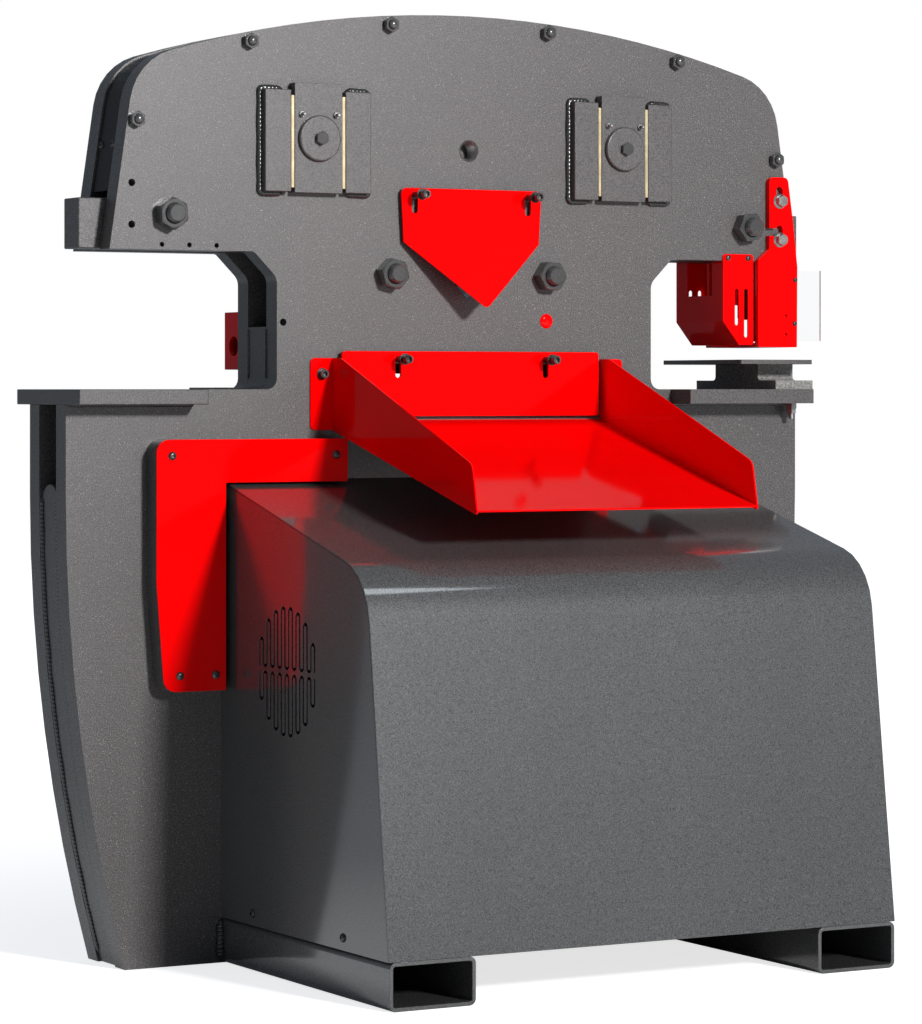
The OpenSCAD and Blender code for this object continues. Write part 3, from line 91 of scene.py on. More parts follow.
# Guard screws: x, z, end of the head, place of the washer and length of the sleeve, if there is one
GUARD_SCREWS = [
    (0.146, 1.008, 0.129, 0.111, 0.0077),
    (0.112, 1.290, 0.129, 0.111, 0.0067),
    (0.287, 0.983, 0.090, 0.078, None),
]

# Directions that a fastener can face: columns are where its own x, y and z go
FACING = {
    "front": np.array([[1, 0, 0], [0, 0, -1], [0, 1, 0]], float),
    "rear": np.array([[-1, 0, 0], [0, 0, 1], [0, 1, 0]], float),
    "left": np.array([[0, 0, -1], [-1, 0, 0], [0, 1, 0]], float),
    "right": np.array([[0, 0, 1], [1, 0, 0], [0, 1, 0]], float),
}
FRONT_REAR = (("front", -1), ("rear", 1))

# Camera at the photograph's place, level; the focal length and the shift down are in the photo's pixels
PHOTO_WIDTH, FOCAL_LENGTH, FRAME_SHIFT = 922.0, 3831.0, -123.0
SENSOR_WIDTH = 36.0
CAMERA_AT = (-3.2514, -5.8502, 0.9574)
CAMERA_TURN = math.radians(-29.26)


def add_camera():
    """Camera of the photograph."""
    data = bpy.data.cameras.new("camera")
    data.sensor_fit = "HORIZONTAL"
    data.sensor_width = SENSOR_WIDTH
    data.lens = FOCAL_LENGTH / PHOTO_WIDTH * SENSOR_WIDTH
    data.shift_y = FRAME_SHIFT / PHOTO_WIDTH
    data.clip_end = 100.0
    cam = bpy.data.objects.new("camera", data)
    cam.location = CAMERA_AT
    cam.rotation_euler = (math.radians(90), 0, CAMERA_TURN)
    scene.collection.objects.link(cam)
    scene.camera = cam


add_camera()


# Shader node helpers
def wire(tree, value, socket):
    """Feeds a socket from another socket, or sets it to a constant."""
    if isinstance(value, bpy.types.NodeSocket):
        tree.links.new(value, socket)
    else:
        socket.default_value = value


def feed(tree, made, values):
    """Feeds inputs of a node by their labels."""
    for label, value in values.items():
        wire(tree, value, made.inputs[label])


def node(tree, kind, **values):
    """New node; keyword values set its properties or feed its inputs, with _ for a space."""
    made = tree.nodes.new(kind)
    for key, value in values.items():
        if hasattr(made, key):
            setattr(made, key, value)
        else:
            wire(tree, value, made.inputs[key.replace("_", " ")])
    return made


def maths(tree, operation, *values, clamp=False):
    """Result of a math node on sockets and numbers."""
    made = node(tree, "ShaderNodeMath", operation=operation, use_clamp=clamp)
    for value, socket in zip(values, made.inputs):
        wire(tree, value, socket)
    return made.outputs[0]


def noise(tree, at, **values):
    """Value of a noise over a position."""
    return node(tree, "ShaderNodeTexNoise", Vector=at, **values).outputs["Fac"]


def ranged(tree, value, start, end, low=0.0, high=1.0):
    """Value carried from start and end to low and high, and kept between them."""
    made = node(
        tree, "ShaderNodeMapRange", Value=value, From_Min=start, From_Max=end, To_Min=low, To_Max=high
    )
    return made.outputs[0]


def ramp(tree, source, low, high):
    """Colour ramp over a value between two stops (position, grey or colour)."""
    made = node(tree, "ShaderNodeValToRGB", Fac=source)
    for element, (at, tone) in zip(made.color_ramp.elements, (low, high)):
        element.position = at
        element.color = (*tone, 1) if isinstance(tone, tuple) else (tone, tone, tone, 1)
    return made.outputs[0]


def mixed(tree, kind, fac, a, b):
    """Colour mix of two sockets or colours by a factor socket or number; the node's inputs 6 and 7 and its
    output 2 are the ones for colours."""
    made = node(tree, "ShaderNodeMix", data_type="RGBA", blend_type=kind)
    for value, index in ((fac, 0), (a, 6), (b, 7)):
        wire(tree, value, made.inputs[index])
    return made.outputs[2]


def bump(tree, height, distance, strength):
    """Normal that follows a height."""
    return node(tree, "ShaderNodeBump", Strength=strength, Distance=distance, Height=height).outputs[0]


def position(tree):
    """Position on the piece."""
    return node(tree, "ShaderNodeTexCoord").outputs["Object"]


def new_material(name):
    """Empty material with a Principled shader; returns the material, its tree and the shader."""
    mat = bpy.data.materials.new(name)
    mat.use_nodes = True
    tree = mat.node_tree
    tree.nodes.clear()
    out = tree.nodes.new("ShaderNodeOutputMaterial")
    bsdf = tree.nodes.new("ShaderNodeBsdfPrincipled")
    tree.links.new(bsdf.outputs[0], out.inputs[0])
    return mat, tree, bsdf


def group(name, inputs, outputs):
    """Node group with float sockets; returns its tree, its inputs by label and its output node."""
    tree = bpy.data.node_groups.new(name, "ShaderNodeTree")
    for label in inputs:
        tree.interface.new_socket(label, in_out="INPUT", socket_type="NodeSocketFloat")
    for label in outputs:
        tree.interface.new_socket(label, in_out="OUTPUT", socket_type="NodeSocketFloat")
    given, result = tree.nodes.new("NodeGroupInput"), tree.nodes.new("NodeGroupOutput")
    return tree, given.outputs, result


def use_group(tree, shared, **values):
    """Outputs of a shared node group with its inputs set."""
    return node(tree, "ShaderNodeGroup", node_tree=shared, **values).outputs


def speckle_group():
    """Powder-coat speckle: two sizes of noise, drawn apart round their mean of 0.7, make a fleck mask, the
    peaks of a third make sparse flakes of painted glints, a wide one makes clouds and a soft one orange
    peel."""
    masks = ("Fleck", "Painted_glint", "Cloud", "Peel")
    tree, given, result = group("powder_speckle", ("Grain", "Contrast"), masks)
    at = position(tree)
    fine = noise(tree, at, Scale=given["Grain"], Detail=1.0, Roughness=0.6)
    finer = noise(tree, at, Scale=1300.0, Detail=0.0)
    centred = maths(tree, "SUBTRACT", maths(tree, "MULTIPLY_ADD", finer, 0.4, fine), 0.7)
    scaled = maths(tree, "MULTIPLY", centred, given["Contrast"])
    feed(tree, result, {
        "Fleck": maths(tree, "ADD", scaled, 0.5, clamp=True),
        "Painted_glint": ranged(tree, noise(tree, at, Scale=620.0, Detail=0.0), start=0.74, end=0.85),
        "Cloud": noise(tree, at, Scale=5.0, Detail=3.0),
        "Peel": noise(tree, at, Scale=260.0, Detail=2.0),
    })
    return tree


def brushing_group():
    """Machining marks: noise drawn out along one axis, with a second noise for stains."""
    tree, given, result = group("machining_marks", ("Along X", "Along Y", "Along Z"), ("Marks", "Stain"))
    at = position(tree)
    scale = node(tree, "ShaderNodeCombineXYZ", X=given["Along X"], Y=given["Along Y"], Z=given["Along Z"])
    stretched = node(tree, "ShaderNodeVectorMath", operation="MULTIPLY")
    tree.links.new(at, stretched.inputs[0])
    tree.links.new(scale.outputs[0], stretched.inputs[1])
    feed(tree, result, {
        "Marks": noise(tree, stretched.outputs[0], Scale=1.0, Detail=3.0),
        "Stain": noise(tree, at, Scale=60.0, Detail=3.0),
    })
    return tree


SPECKLE = speckle_group()
BRUSHING = brushing_group()


# Finishes
def grey_coat(
    name, dark, light, contrast=1.0, rough=(0.36, 0.5), grain=330.0, gloss=0.2, clear=(0.0, 0.14, 1.5),
    glint_lightness=2.6
):
    """Speckled grey powder coat between a dark and a light tone, with flakes that are so many times lighter
    as painted glints, and a clear top of a weight, roughness and index."""
    mat, tree, bsdf = new_material(name)
    look = use_group(tree, SPECKLE, Grain=grain, Contrast=contrast)
    base = mixed(tree, "MIX", look["Fleck"], (*dark, 1), (*light, 1))
    base = mixed(tree, "MULTIPLY", 1.0, base, ramp(tree, look["Cloud"], (0.3, 0.9), (0.7, 1.0)))
    bright = tuple(glint_lightness * c for c in light)
    weight, coat_rough, index = clear
    feed(tree, bsdf, {
        # Flakes lighten the base colour where the coat would glint: painted glints
        "Base Color": mixed(tree, "MIX", look["Painted_glint"], base, (*bright, 1)),
        "Roughness": ramp(tree, look["Fleck"], (0.2, rough[1]), (0.8, rough[0])),
        "Specular IOR Level": gloss,
        "Coat Weight": weight,
        "Coat Roughness": coat_rough,
        "Coat IOR": index,
        "Normal": bump(tree, look["Fleck"], distance=0.00016, strength=0.45),
    })
    return mat


def red_coat(name):
    """Gloss red powder coat: nearly even colour and a faint orange peel."""
    mat, tree, bsdf = new_material(name)
    look = use_group(tree, SPECKLE, Grain=220.0, Contrast=0.5)
    dark, light = (0.88, 0.0004, 0.0008), (0.94, 0.0006, 0.001)
    feed(tree, bsdf, {
        "Base Color": ramp(tree, look["Cloud"], (0.3, dark), (0.7, light)),
        "Roughness": ramp(tree, look["Fleck"], (0.2, 0.06), (0.8, 0.09)),
        "Specular IOR Level": 0.12,
        "Normal": bump(tree, look["Peel"], distance=0.0001, strength=0.25),
    })
    return mat


def metal(name, dark, light, rough, along, metallic=1.0):
    """Worked metal: marks along one way and stains between two tones."""
    mat, tree, bsdf = new_material(name)
    look = use_group(tree, BRUSHING, Along_X=along[0], Along_Y=along[1], Along_Z=along[2])
    tone = ramp(tree, look["Stain"], (0.3, dark), (0.65, light))
    streak = ramp(tree, look["Marks"], (0.3, 0.82), (0.7, 1.0))
    feed(tree, bsdf, {
        "Base Color": mixed(tree, "MULTIPLY", 1.0, tone, streak),
        "Roughness": ramp(tree, look["Marks"], (0.25, rough[0]), (0.75, rough[1])),
        "Metallic": metallic,
        "Normal": bump(tree, look["Marks"], distance=0.00005, strength=0.5),
    })
    return mat


def rough_cast(name, dark, light):
    """Dark cast surface: lumpy noise in the colour and in the relief."""
    mat, tree, bsdf = new_material(name)
    lumps = noise(tree, position(tree), Scale=260.0, Detail=5.0, Roughness=0.65)
    feed(tree, bsdf, {
        "Base Color": ramp(tree, lumps, (0.35, dark), (0.68, light)),
        "Roughness": ramp(tree, lumps, (0.3, 0.75), (0.7, 0.5)),
        "Normal": bump(tree, lumps, distance=0.0012, strength=0.8),
    })
    return mat


def rubber_hose(name):
    """Black hose cover with a fine wrapped-cloth grain."""
    mat, tree, bsdf = new_material(name)
    look = use_group(tree, BRUSHING, Along_X=900.0, Along_Y=900.0, Along_Z=900.0)
    feed(tree, bsdf, {
        "Base Color": ramp(tree, look["Marks"], (0.3, 0.008), (0.7, 0.02)),
        "Roughness": ramp(tree, look["Stain"], (0.3, 0.5), (0.7, 0.68)),
        "Normal": bump(tree, look["Marks"], distance=0.0002, strength=0.5),
    })
    return mat


def clear_plate(name):
    """Clear polycarbonate with faint wiping marks in its gloss."""
    mat, tree, bsdf = new_material(name)
    look = use_group(tree, BRUSHING, Along_X=160.0, Along_Y=160.0, Along_Z=14.0)
    feed(tree, bsdf, {
        "Base Color": (0.97, 0.985, 0.99, 1),
        "Roughness": ramp(tree, look["Marks"], (0.35, 0.02), (0.75, 0.07)),
        "Transmission Weight": 1.0,
        "IOR": 1.45,
    })
    return mat


GREY = grey_coat(
    "grey_coat", (0.0245, 0.0219, 0.0214), (0.112, 0.1004, 0.0980), contrast=6.0, rough=(0.32, 0.42),
    grain=520.0, gloss=0.66, clear=(0.1, 0.14, 1.5), glint_lightness=2.8
)
GREY_HOOD = grey_coat(
    "grey_coat_hood", (0.023, 0.0226, 0.0223), (0.093, 0.0912, 0.0903), contrast=4.0, rough=(0.38, 0.46),
    grain=520.0, gloss=0.30, clear=(1.0, 0.10, 1.62), glint_lightness=1.6
)
# Weld beads: a darker, glossier grey than the coat over them, painted shade for beads in shade by the
# rails, in the grooves and under the tables
SHADED_WELD_COAT = grey_coat(
    "grey_coat_weld_painted_shade", (0.010, 0.0095, 0.009), (0.040, 0.038, 0.037), contrast=1.6, rough=(0.16, 0.26),
    gloss=0.6
)
RED = red_coat("red_coat")
BRASS = metal(
    "gib_brass", (0.36, 0.29, 0.18), (0.47, 0.39, 0.25), rough=(0.46, 0.58), along=(900, 900, 30)
)
STEEL = metal(
    "bare_steel", (0.26, 0.25, 0.24), (0.42, 0.41, 0.40), rough=(0.28, 0.45), along=(500, 500, 500)
)
BLACK = metal(
    "black_oxide", (0.045, 0.043, 0.041), (0.13, 0.125, 0.12), rough=(0.24, 0.38), along=(700, 700, 700),
    metallic=0.85
)
TOOL = metal(
    "tool_steel", (0.16, 0.16, 0.17), (0.30, 0.30, 0.31), rough=(0.24, 0.4), along=(40, 600, 900)
)
CAST = rough_cast("rough_cast", (0.090, 0.086, 0.081), (0.32, 0.306, 0.290))
MOTOR = grey_coat("motor_paint", (0.02, 0.03, 0.042), (0.05, 0.068, 0.09))
NUT_COAT = grey_coat(
    "grey_coat_nuts", (0.026, 0.0252, 0.0246), (0.078, 0.0756, 0.0738), contrast=1.2, rough=(0.17, 0.27),
    gloss=0.9
)
ZINC = metal(
    "zinc_plate", (0.30, 0.29, 0.27), (0.50, 0.49, 0.46), rough=(0.26, 0.40), along=(420, 420, 420)
)
HOSE = rubber_hose("hose_rubber")
CLEAR = clear_plate("clear_plate")
COVER = grey_coat("crown_black", (0.006, 0.006, 0.006), (0.022, 0.021, 0.021), contrast=1.4)

FINISH = {
    "grey_coat": GREY, "red_coat": RED, "brass": BRASS, "bare_steel": STEEL, "black_steel": BLACK,
    "tool_steel": TOOL, "motor_paint": MOTOR, "rubber": HOSE, "clear_sheet": CLEAR,
}
SPECIAL = {
    "hood": GREY_HOOD, "hood_sides": GREY_HOOD, "fork_tubes": GREY_HOOD, "bolster": CAST,
    "crown_cover": COVER,
}
SLOT_OF = {s["node"]: s["material_slot"] for s in frame["record"]["subparts"]}
BODY_OF = {n: b for b, members in frame["record"]["behaviour"]["bodies"].items() for n in members}


def finish_of(name):
    """Finish of a CAD node: its own, or that of its slot."""
    return SPECIAL.get(name, FINISH[SLOT_OF[name]])


# Mesh helpers; edges that bend more than SHARP are rounded, and faces that bend less than FLAT are joined
SHARP, FLAT = math.radians(32.0), math.radians(0.4)


def link_piece(name, mesh, body, mat, replaced):
    """Object at the origin that rides on a body, with its finish and the nodes it stands for."""
    made = bpy.data.objects.new(name, mesh)
    scene.collection.objects.link(made)
    mesh.materials.clear()
    mesh.materials.append(mat)
    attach(made, body)
    if replaced:
        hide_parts(*replaced)


def softened(name, width):
    """Copy of a CAD node with its doubled points merged and its sharp edges rounded to width; each rounding
    is shaded by itself, so that the flat faces beside it stay flat."""
    mesh = nodes[name].data.copy()
    mesh.name = name + "_soft"
    bm = bmesh.new()
    bm.from_mesh(mesh)
    bmesh.ops.remove_doubles(bm, verts=bm.verts, dist=1e-5)
    bmesh.ops.dissolve_limit(bm, angle_limit=FLAT, verts=bm.verts, edges=bm.edges)
    sharp = [e for e in bm.edges if e.calc_face_angle(0.0) > SHARP]
    rounding = set(bmesh.ops.bevel(
        bm, geom=sharp, offset=width, offset_type="OFFSET", segments=2, profile=0.5, affect="EDGES",
        clamp_overlap=True
    )["faces"])
    for edge in bm.edges:
        edge.smooth = len({face in rounding for face in edge.link_faces}) == 1
    bm.to_mesh(mesh)
    bm.free()
    mesh.polygons.foreach_set("use_smooth", np.ones(len(mesh.polygons), bool))
    link_piece(name + "_soft", mesh, BODY_OF[name], finish_of(name), [name])


def build(name, parts, body, mat, replaced, angle):
    """Mesh piece from (points, faces) pairs: doubled points merged, faces turned outwards, and shaded
    smooth below the angle."""
    starts = np.cumsum([0] + [len(points) for points, _ in parts[:-1]])
    points = np.vstack([points for points, _ in parts])
    faces = np.vstack([faces + start for (_, faces), start in zip(parts, starts)])
    mesh = bpy.data.meshes.new(name)
    mesh.from_pydata(points.tolist(), [], faces.tolist())
    bm = bmesh.new()
    bm.from_mesh(mesh)
    bmesh.ops.remove_doubles(bm, verts=bm.verts, dist=2e-6)
    bmesh.ops.dissolve_degenerate(bm, edges=bm.edges, dist=1e-7)
    bmesh.ops.recalc_face_normals(bm, faces=bm.faces)
    bm.to_mesh(mesh)
    bm.free()
    mesh.polygons.foreach_set("use_smooth", np.ones(len(mesh.polygons), bool))
    mesh.set_sharp_from_angle(angle=math.radians(angle))
    link_piece(name, mesh, body, mat, replaced)


def placed(part, facing, at):
    """Turns a part that stands on its own z axis to a facing, and moves it to a point."""
    points, faces = part
    turn = FACING[facing] if isinstance(facing, str) else facing
    return points @ turn.T + np.asarray(at, float), faces


def skin(points):
    """Points and faces of a skin over rows of points, each row closed to a ring: one quad between every two
    neighbours in a row and the same two in the next row."""
    rows, cols = points.shape[:2]
    index = np.arange(rows * cols).reshape(rows, cols)
    index = np.hstack([index, index[:, :1]])
    corners = (index[:-1, :-1], index[:-1, 1:], index[1:, 1:], index[1:, :-1])
    return points.reshape(-1, 3), np.stack([c.ravel() for c in corners], 1)


def angles(count):
    """Even angles round a circle: step times a full turn over the count."""
    return np.arange(count) * 2 * math.pi / count


def ringed(radius, theta, z):
    """Skin over rings round the z axis: x is radius times cos, y is radius times sin of the angle."""
    return skin(np.stack(np.broadcast_arrays(radius * np.cos(theta), radius * np.sin(theta), z), 2))


def hex_reach(theta):
    """Radius of a hexagon of apothem 1 at each angle: 1 / cos of the angle from the nearest flat."""
    return 1.0 / np.cos((theta + math.pi / 6) % (math.pi / 3) - math.pi / 6)


def thread_wave(along, theta):
    """Triangle wave from 0 to 1 of the turns along a thread less the turn round it."""
    return np.abs(((along - theta / (2 * math.pi)) % 1.0) * 2 - 1)


# Fastener shapes
def turned(rings):
    """Turned part from rings (radius, height), (radius, height, six-sided or not) or those with a largest
    radius: each is min(radius times the hexagon's reach or 1, largest radius) round the z axis."""
    theta = angles(72)
    rows = np.array([(*ring, *(0, math.inf)[len(ring) - 2:]) for ring in rings], float)
    reach = np.where(rows[:, 2:3] > 0, hex_reach(theta), 1.0)
    return ringed(np.minimum(rows[:, :1] * reach, rows[:, 3:]), theta, rows[:, 1:2])


def rod(r, z0, z1):
    """Plain rod: radius r from z0 to z1, and 0 at both ends."""
    return turned([(0, z0), (r, z0), (r, z1), (0, z1)])


def coned_end(apothem, height):
    """Rings upwards at the top of six flats that a 30 degree cone cuts: the largest radius is 0.97 of the
    apothem at the top and grows with the depth below it, times the cotangent of 30 degrees."""
    depths = np.linspace(0, 0.16 * apothem, 6)[::-1]
    return [(apothem, height - z, 1, apothem * 0.97 + z * 1.73) for z in depths]


def nut_part(af, height, bore):
    """Hex nut: six flats, coned at both ends, and a countersunk bore."""
    high = coned_end(af / 2, height)
    low = [(flat, height - z, six, largest) for flat, z, six, largest in high[::-1]]
    rings = [(bore * 1.1, 0)] + low + high
    rings += [(bore * 1.1, height), (bore, height - 0.08 * bore), (bore, 0.08 * bore)]
    return turned(rings + rings[:1])


def hex_head(af, height, flange=None):
    """Bolt head: six flats with a coned, dished top, and below them a flange of a radius and height."""
    apothem = af / 2
    rings, foot = [(0, 0)], 0.0
    if flange:
        wide, foot = flange
        rings += [(wide, 0), (wide, 0.4 * foot), (apothem * 1.16, foot)]
    rings += [(apothem, foot, 1)] + coned_end(apothem, height)
    dish = height - 0.0003
    return turned(rings + [(apothem * 0.9, height), (apothem * 0.86, dish), (0, dish)])


def thread_part(r, z0, z1, pitch, dome):
    """Threaded stud end: radius r less a triangle wave of height over pitch less turn, with a coned tip."""
    theta = angles(48)
    z = np.linspace(z0, z1, int((z1 - z0) / pitch * 8) + 2)[:, None]
    radius = np.minimum(r - 0.55 * pitch * thread_wave(z / pitch, theta), r + 0.9 * (z1 - z - dome))
    closed = np.zeros((1, len(theta)))
    return ringed(np.vstack([closed, radius, closed]), theta, np.vstack([z[:1], z, z[-1:]]))


def socket_screw(r, reach):
    """Socket cap screw: head with 48 ridges and a hexagon socket on a shank of radius r, reach long; rings
    are (radius, height, six-sided or not, ridged or not)."""
    head_r, head_h, socket = 1.55 * r, 2 * r, 0.8 * r
    theta = angles(144)
    rows = np.array([
        (0, -reach, 0, 0), (r, -reach, 0, 0), (r, 0, 0, 0), (head_r * 0.98, 0, 0, 0),
        (head_r, 0.06 * r, 0, 1), (head_r, 1.55 * r, 0, 1), (head_r, 1.68 * r, 0, 0),
        (head_r * 0.97, 1.86 * r, 0, 0), (head_r * 0.88, head_h, 0, 0), (socket * 1.12, head_h, 1, 0),
        (socket, head_h - 0.1 * r, 1, 0), (socket, 0.9 * r, 1, 0), (0, 0.8 * r, 0, 0),
    ])
    reaches = np.where(rows[:, 2:3] > 0, hex_reach(theta), 1.0)
    ridges = 1.0 - 0.03 * rows[:, 3:] * (0.5 + 0.5 * np.cos(48 * theta))
    return ringed(rows[:, :1] * reaches * ridges, theta, rows[:, 1:2])


def button_head(r, t):
    """Button screw: shank t long, head whose dome is 62 degrees of an ellipse, and a hexagon socket."""
    arc = np.radians(np.linspace(0, 62, 8))
    dome = [(1.8 * r * math.cos(a), 0.1 * r + 1.1 * r * math.sin(a)) for a in arc]
    top = dome[-1][1]
    socket = [(0.62 * r, top, 1), (0.6 * r, top - 0.1 * r, 1), (0.6 * r, 0.35 * r, 1), (0, 0.3 * r)]
    return turned([(0, -t), (r, -t), (r, 0), (1.75 * r, 0)] + dome + socket)


def washer_part(r, hole, t):
    """Flat washer of a thickness t with its outer edges broken by 0.15 t."""
    e = 0.15 * t
    return turned([(hole, 0), (r - e, 0), (r, e), (r, t - e), (r - e, t), (hole, t), (hole, 0)])


# Shapes along a path
def weld_part(path, out_a, out_b, width, step, seed, ripple=0.2):
    """Weld bead: a quarter-round fillet between two directions, carried along a path; its size swells
    with |sin| of the length over the ripple step and fades at both ends. The first direction may turn
    along the path."""
    path = np.asarray(path, float)
    lengths = np.concatenate([[0], np.cumsum(np.linalg.norm(np.diff(path, axis=0), axis=1))])
    s = np.linspace(0, lengths[-1], max(int(lengths[-1] / step * 5), 8))

    def along_path(values):
        """Values at the path's points carried to even steps of its length."""
        return np.stack([np.interp(s, lengths, values[:, k]) for k in range(3)], 1)[:, None, :]

    swell = 0.96 + ripple * (np.abs(np.sin(math.pi * s / step + seed)) - 0.5) + 0.06 * np.sin(97 * s + seed)
    fade = np.clip(np.minimum(s, s[-1] - s) / (1.2 * width), 0.02, 1) ** 0.5
    a = along_path(np.broadcast_to(np.asarray(out_a, float), path.shape))
    b = np.asarray(out_b, float)
    t = np.linspace(0, math.pi / 2, 7)
    crown = 1 + 0.16 * np.sin(2 * t)
    arc = (np.cos(t) * crown)[:, None] * a + (np.sin(t) * crown)[:, None] * b
    ring = np.concatenate([np.zeros((len(s), 1, 3)), arc], 1)
    return skin(along_path(path) + (width * swell * fade)[:, None, None] * ring)


def rail_path(x_in, x_out, z0, z1, y):
    """Path round three sides of a rail, two straight runs and a rise joined by quarter circles of radius r,
    and the way out at each point."""
    r = 0.003
    way = math.copysign(1, x_out - x_in)
    turn = np.linspace(0, math.pi / 2, 6)
    run = np.linspace(x_in, x_out - way * r, 10)
    rise = np.linspace(z1 - r, z0 + r, 40)
    none, whole = np.zeros_like, np.ones_like
    x = np.concatenate([
        run, x_out - way * r * (1 - np.sin(turn)), none(rise) + x_out, x_out - way * r * (1 - np.cos(turn)),
        run[::-1]
    ])
    z = np.concatenate([
        none(run) + z1, z1 - r * (1 - np.cos(turn)), rise, z0 + r * (1 - np.sin(turn)), none(run) + z0
    ])
    out_x = np.concatenate([none(run), np.sin(turn), whole(rise), np.cos(turn), none(run)]) * way
    out_z = np.concatenate([whole(run), np.cos(turn), none(rise), -np.sin(turn), -whole(run)])
    return np.stack([x, none(x) + y, z], 1), np.stack([out_x, none(x), out_z], 1)


def swept(path, radius):
    """Round tube along a smooth path, closed at both ends: each ring is radius times cos of the angle to
    the side plus radius times sin of it upwards, both square to the path."""
    ahead = np.gradient(path, axis=0)
    ahead /= np.linalg.norm(ahead, axis=1)[:, None]
    side = np.cross(ahead, [0, 0, 1.0])
    side /= np.linalg.norm(side, axis=1)[:, None]
    lift = np.cross(side, ahead)
    theta = angles(20)[None, :, None]
    ring = np.cos(theta) * side[:, None, :] + np.sin(theta) * lift[:, None, :]
    radius = np.broadcast_to(radius, len(path))[:, None, None]
    spine = np.repeat(path[:, None, :], theta.size, 1)
    return skin(np.concatenate([spine[:1], spine + radius * ring, spine[-1:]]))


# CAD nodes with rounded edges
SOFT_EDGES = {
    "front_plate": 0.0018, "rear_plate": 0.0018, "frame_spacers": 0.001, "edge_strips": 0.001,
    "guide_rails": 0.0015, "gib_strips": 0.0006, "guide_slides": 0.0012, "slide_caps": 0.0008,
    "left_table": 0.0015, "right_table": 0.0015, "bolster": 0.002, "gauging_table": 0.0012,
    "chute": 0.0008, "side_box": 0.0008, "side_cover": 0.0008, "hood": 0.0009, "hood_sides": 0.0006,
    "fork_tubes": 0.0008, "punch_shroud": 0.0007, "plug": 0.0006, "rear_cover": 0.0008,
    "feed_table": 0.001, "hold_down": 0.0012, "ram_beam": 0.002, "punch_holder": 0.0015,
    "punch_nut": 0.0008, "angle_guard": 0.0009, "shear_guard": 0.0012, "stripper_arms": 0.0014,
    "stripper_plate": 0.0012, "shield": 0.0005,
}
for label, width in SOFT_EDGES.items():
    softened(label, width)
for label, made in nodes.items():
    made.data.materials.clear()
    made.data.materials.append(finish_of(label))


# Fasteners
def tie_fasteners():
    """Tie rods with threaded ends, and their nuts on both faces, each turned a little further."""
    rods, nuts = [], []
    nut = nut_part(NUT_AF, NUT_H, TIE_R + FIT)
    end = thread_part(TIE_R, FACE + 0.002, FACE + NUT_H + TIE_PAST_NUT, TIE_PITCH, dome=0.003)
    shank = rod(TIE_R - 0.002, -FACE, FACE)
    for i, (x, z) in enumerate(TIE_POINTS):
        rods.append(placed(shank, "front", (x, 0, z)))
        turn = math.radians(11 * i + 5)
        spin = np.array([
            [math.cos(turn), -math.sin(turn), 0], [math.sin(turn), math.cos(turn), 0], [0, 0, 1]
        ])
        for facing, sign in FRONT_REAR:
            rods.append(placed(end, facing, (x, 0, z)))
            nuts.append(placed(nut, FACING[facing] @ spin, (x, sign * FACE, z)))
    build("tie_rods_threaded", rods, "frame", NUT_COAT, ["tie_rods"], 40)
    build("tie_nuts_coned", nuts, "frame", NUT_COAT, ["tie_nuts"], 24)


def on_arm(inset, up):
    """Point on the left arm, so far in from its leaning edge and up from its foot."""
    sin, cos = math.sin(ARM_LEAN), math.cos(ARM_LEAN)
    return np.array([inset * cos + up * sin - ARM_EDGE, ROOF - inset * sin + up * cos])


def rim_points():
    """Rim stud places: four along the crown, inset from its arc, and one at each arm's end."""
    z = TOP - CROWN_R + np.sqrt((CROWN_R - 0.016) ** 2 - RIM_X ** 2)
    left, right = on_arm(0.015, 0.219), on_arm(0.015, 0.188) * [-1, 1]
    return np.vstack([np.stack([RIM_X, z], 1), left, right])


def rim_fasteners():
    """Rim studs, tapped into the rear plate, with domed ends and nuts in front."""
    foot, top = 0.002 - FACE, FACE + RIM_NUT_H + 0.002
    arc = np.radians(np.linspace(0, 90, 7))
    dome = [(RIM_R * math.cos(a), top + 0.005 * math.sin(a)) for a in arc]
    stud = turned([(0, foot), (RIM_R, foot), (RIM_R, top)] + dome)
    nut = nut_part(RIM_NUT_AF, RIM_NUT_H, RIM_R + FIT)
    parts = []
    for x, z in rim_points():
        parts.append(placed(stud, "front", (x, 0, z)))
        parts.append(placed(nut, "front", (x, -FACE, z)))
    build("rim_studs_domed", parts, "frame", NUT_COAT, ["rim_studs"], 24)


def guide_fasteners():
    """Cap bolts in the middle of each slide cap."""
    head = hex_head(af=0.021, height=0.0084)
    parts = [
        placed(head, facing, (x, sign * CAP_FACE, GUIDE_Z))
        for x in (-GUIDE_X, GUIDE_X) for facing, sign in FRONT_REAR
    ]
    build("cap_bolt_heads", parts, "ram", NUT_COAT, ["cap_bolts"], 24)


def guard_fasteners():
    """Long guard screws with washers and sleeves, and the chute's two screws."""
    r = 0.005
    washer_r, washer_t, sleeve_r = 2 * r, 0.002, 0.0085
    washer = washer_part(washer_r, r + FIT, washer_t)
    parts = []
    for x, z, end, seat, length in GUARD_SCREWS:
        under_head = end - 2 * r
        pieces = [(socket_screw(r, under_head - FACE), under_head), (washer, seat)]
        if length:
            pieces.append((washer_part(sleeve_r, r + FIT, length), FACE))
        for piece, y in pieces:
            parts += [placed(piece, "front", (side * x, -y, z)) for side in (-1, 1)]
    build("guard_screws_knurled", parts, "frame", BLACK, ["guard_screws"], 30)


def stripper_fasteners():
    """Flange bolts that hold the stripper."""
    arm_t = 0.0122
    head = hex_head(af=0.019, height=0.0125, flange=(0.0135, 0.0032))
    shank = rod(0.0063, 0, 0.0125)
    parts = []
    for x, z in STRIPPER_BOLTS:
        for facing, sign in FRONT_REAR:
            parts.append(placed(shank, facing, (x, sign * FACE, z)))
            parts.append(placed(head, facing, (x, sign * (FACE + arm_t), z)))
    build("stripper_bolts_flanged", parts, "frame", ZINC, ["stripper_bolts"], 26)


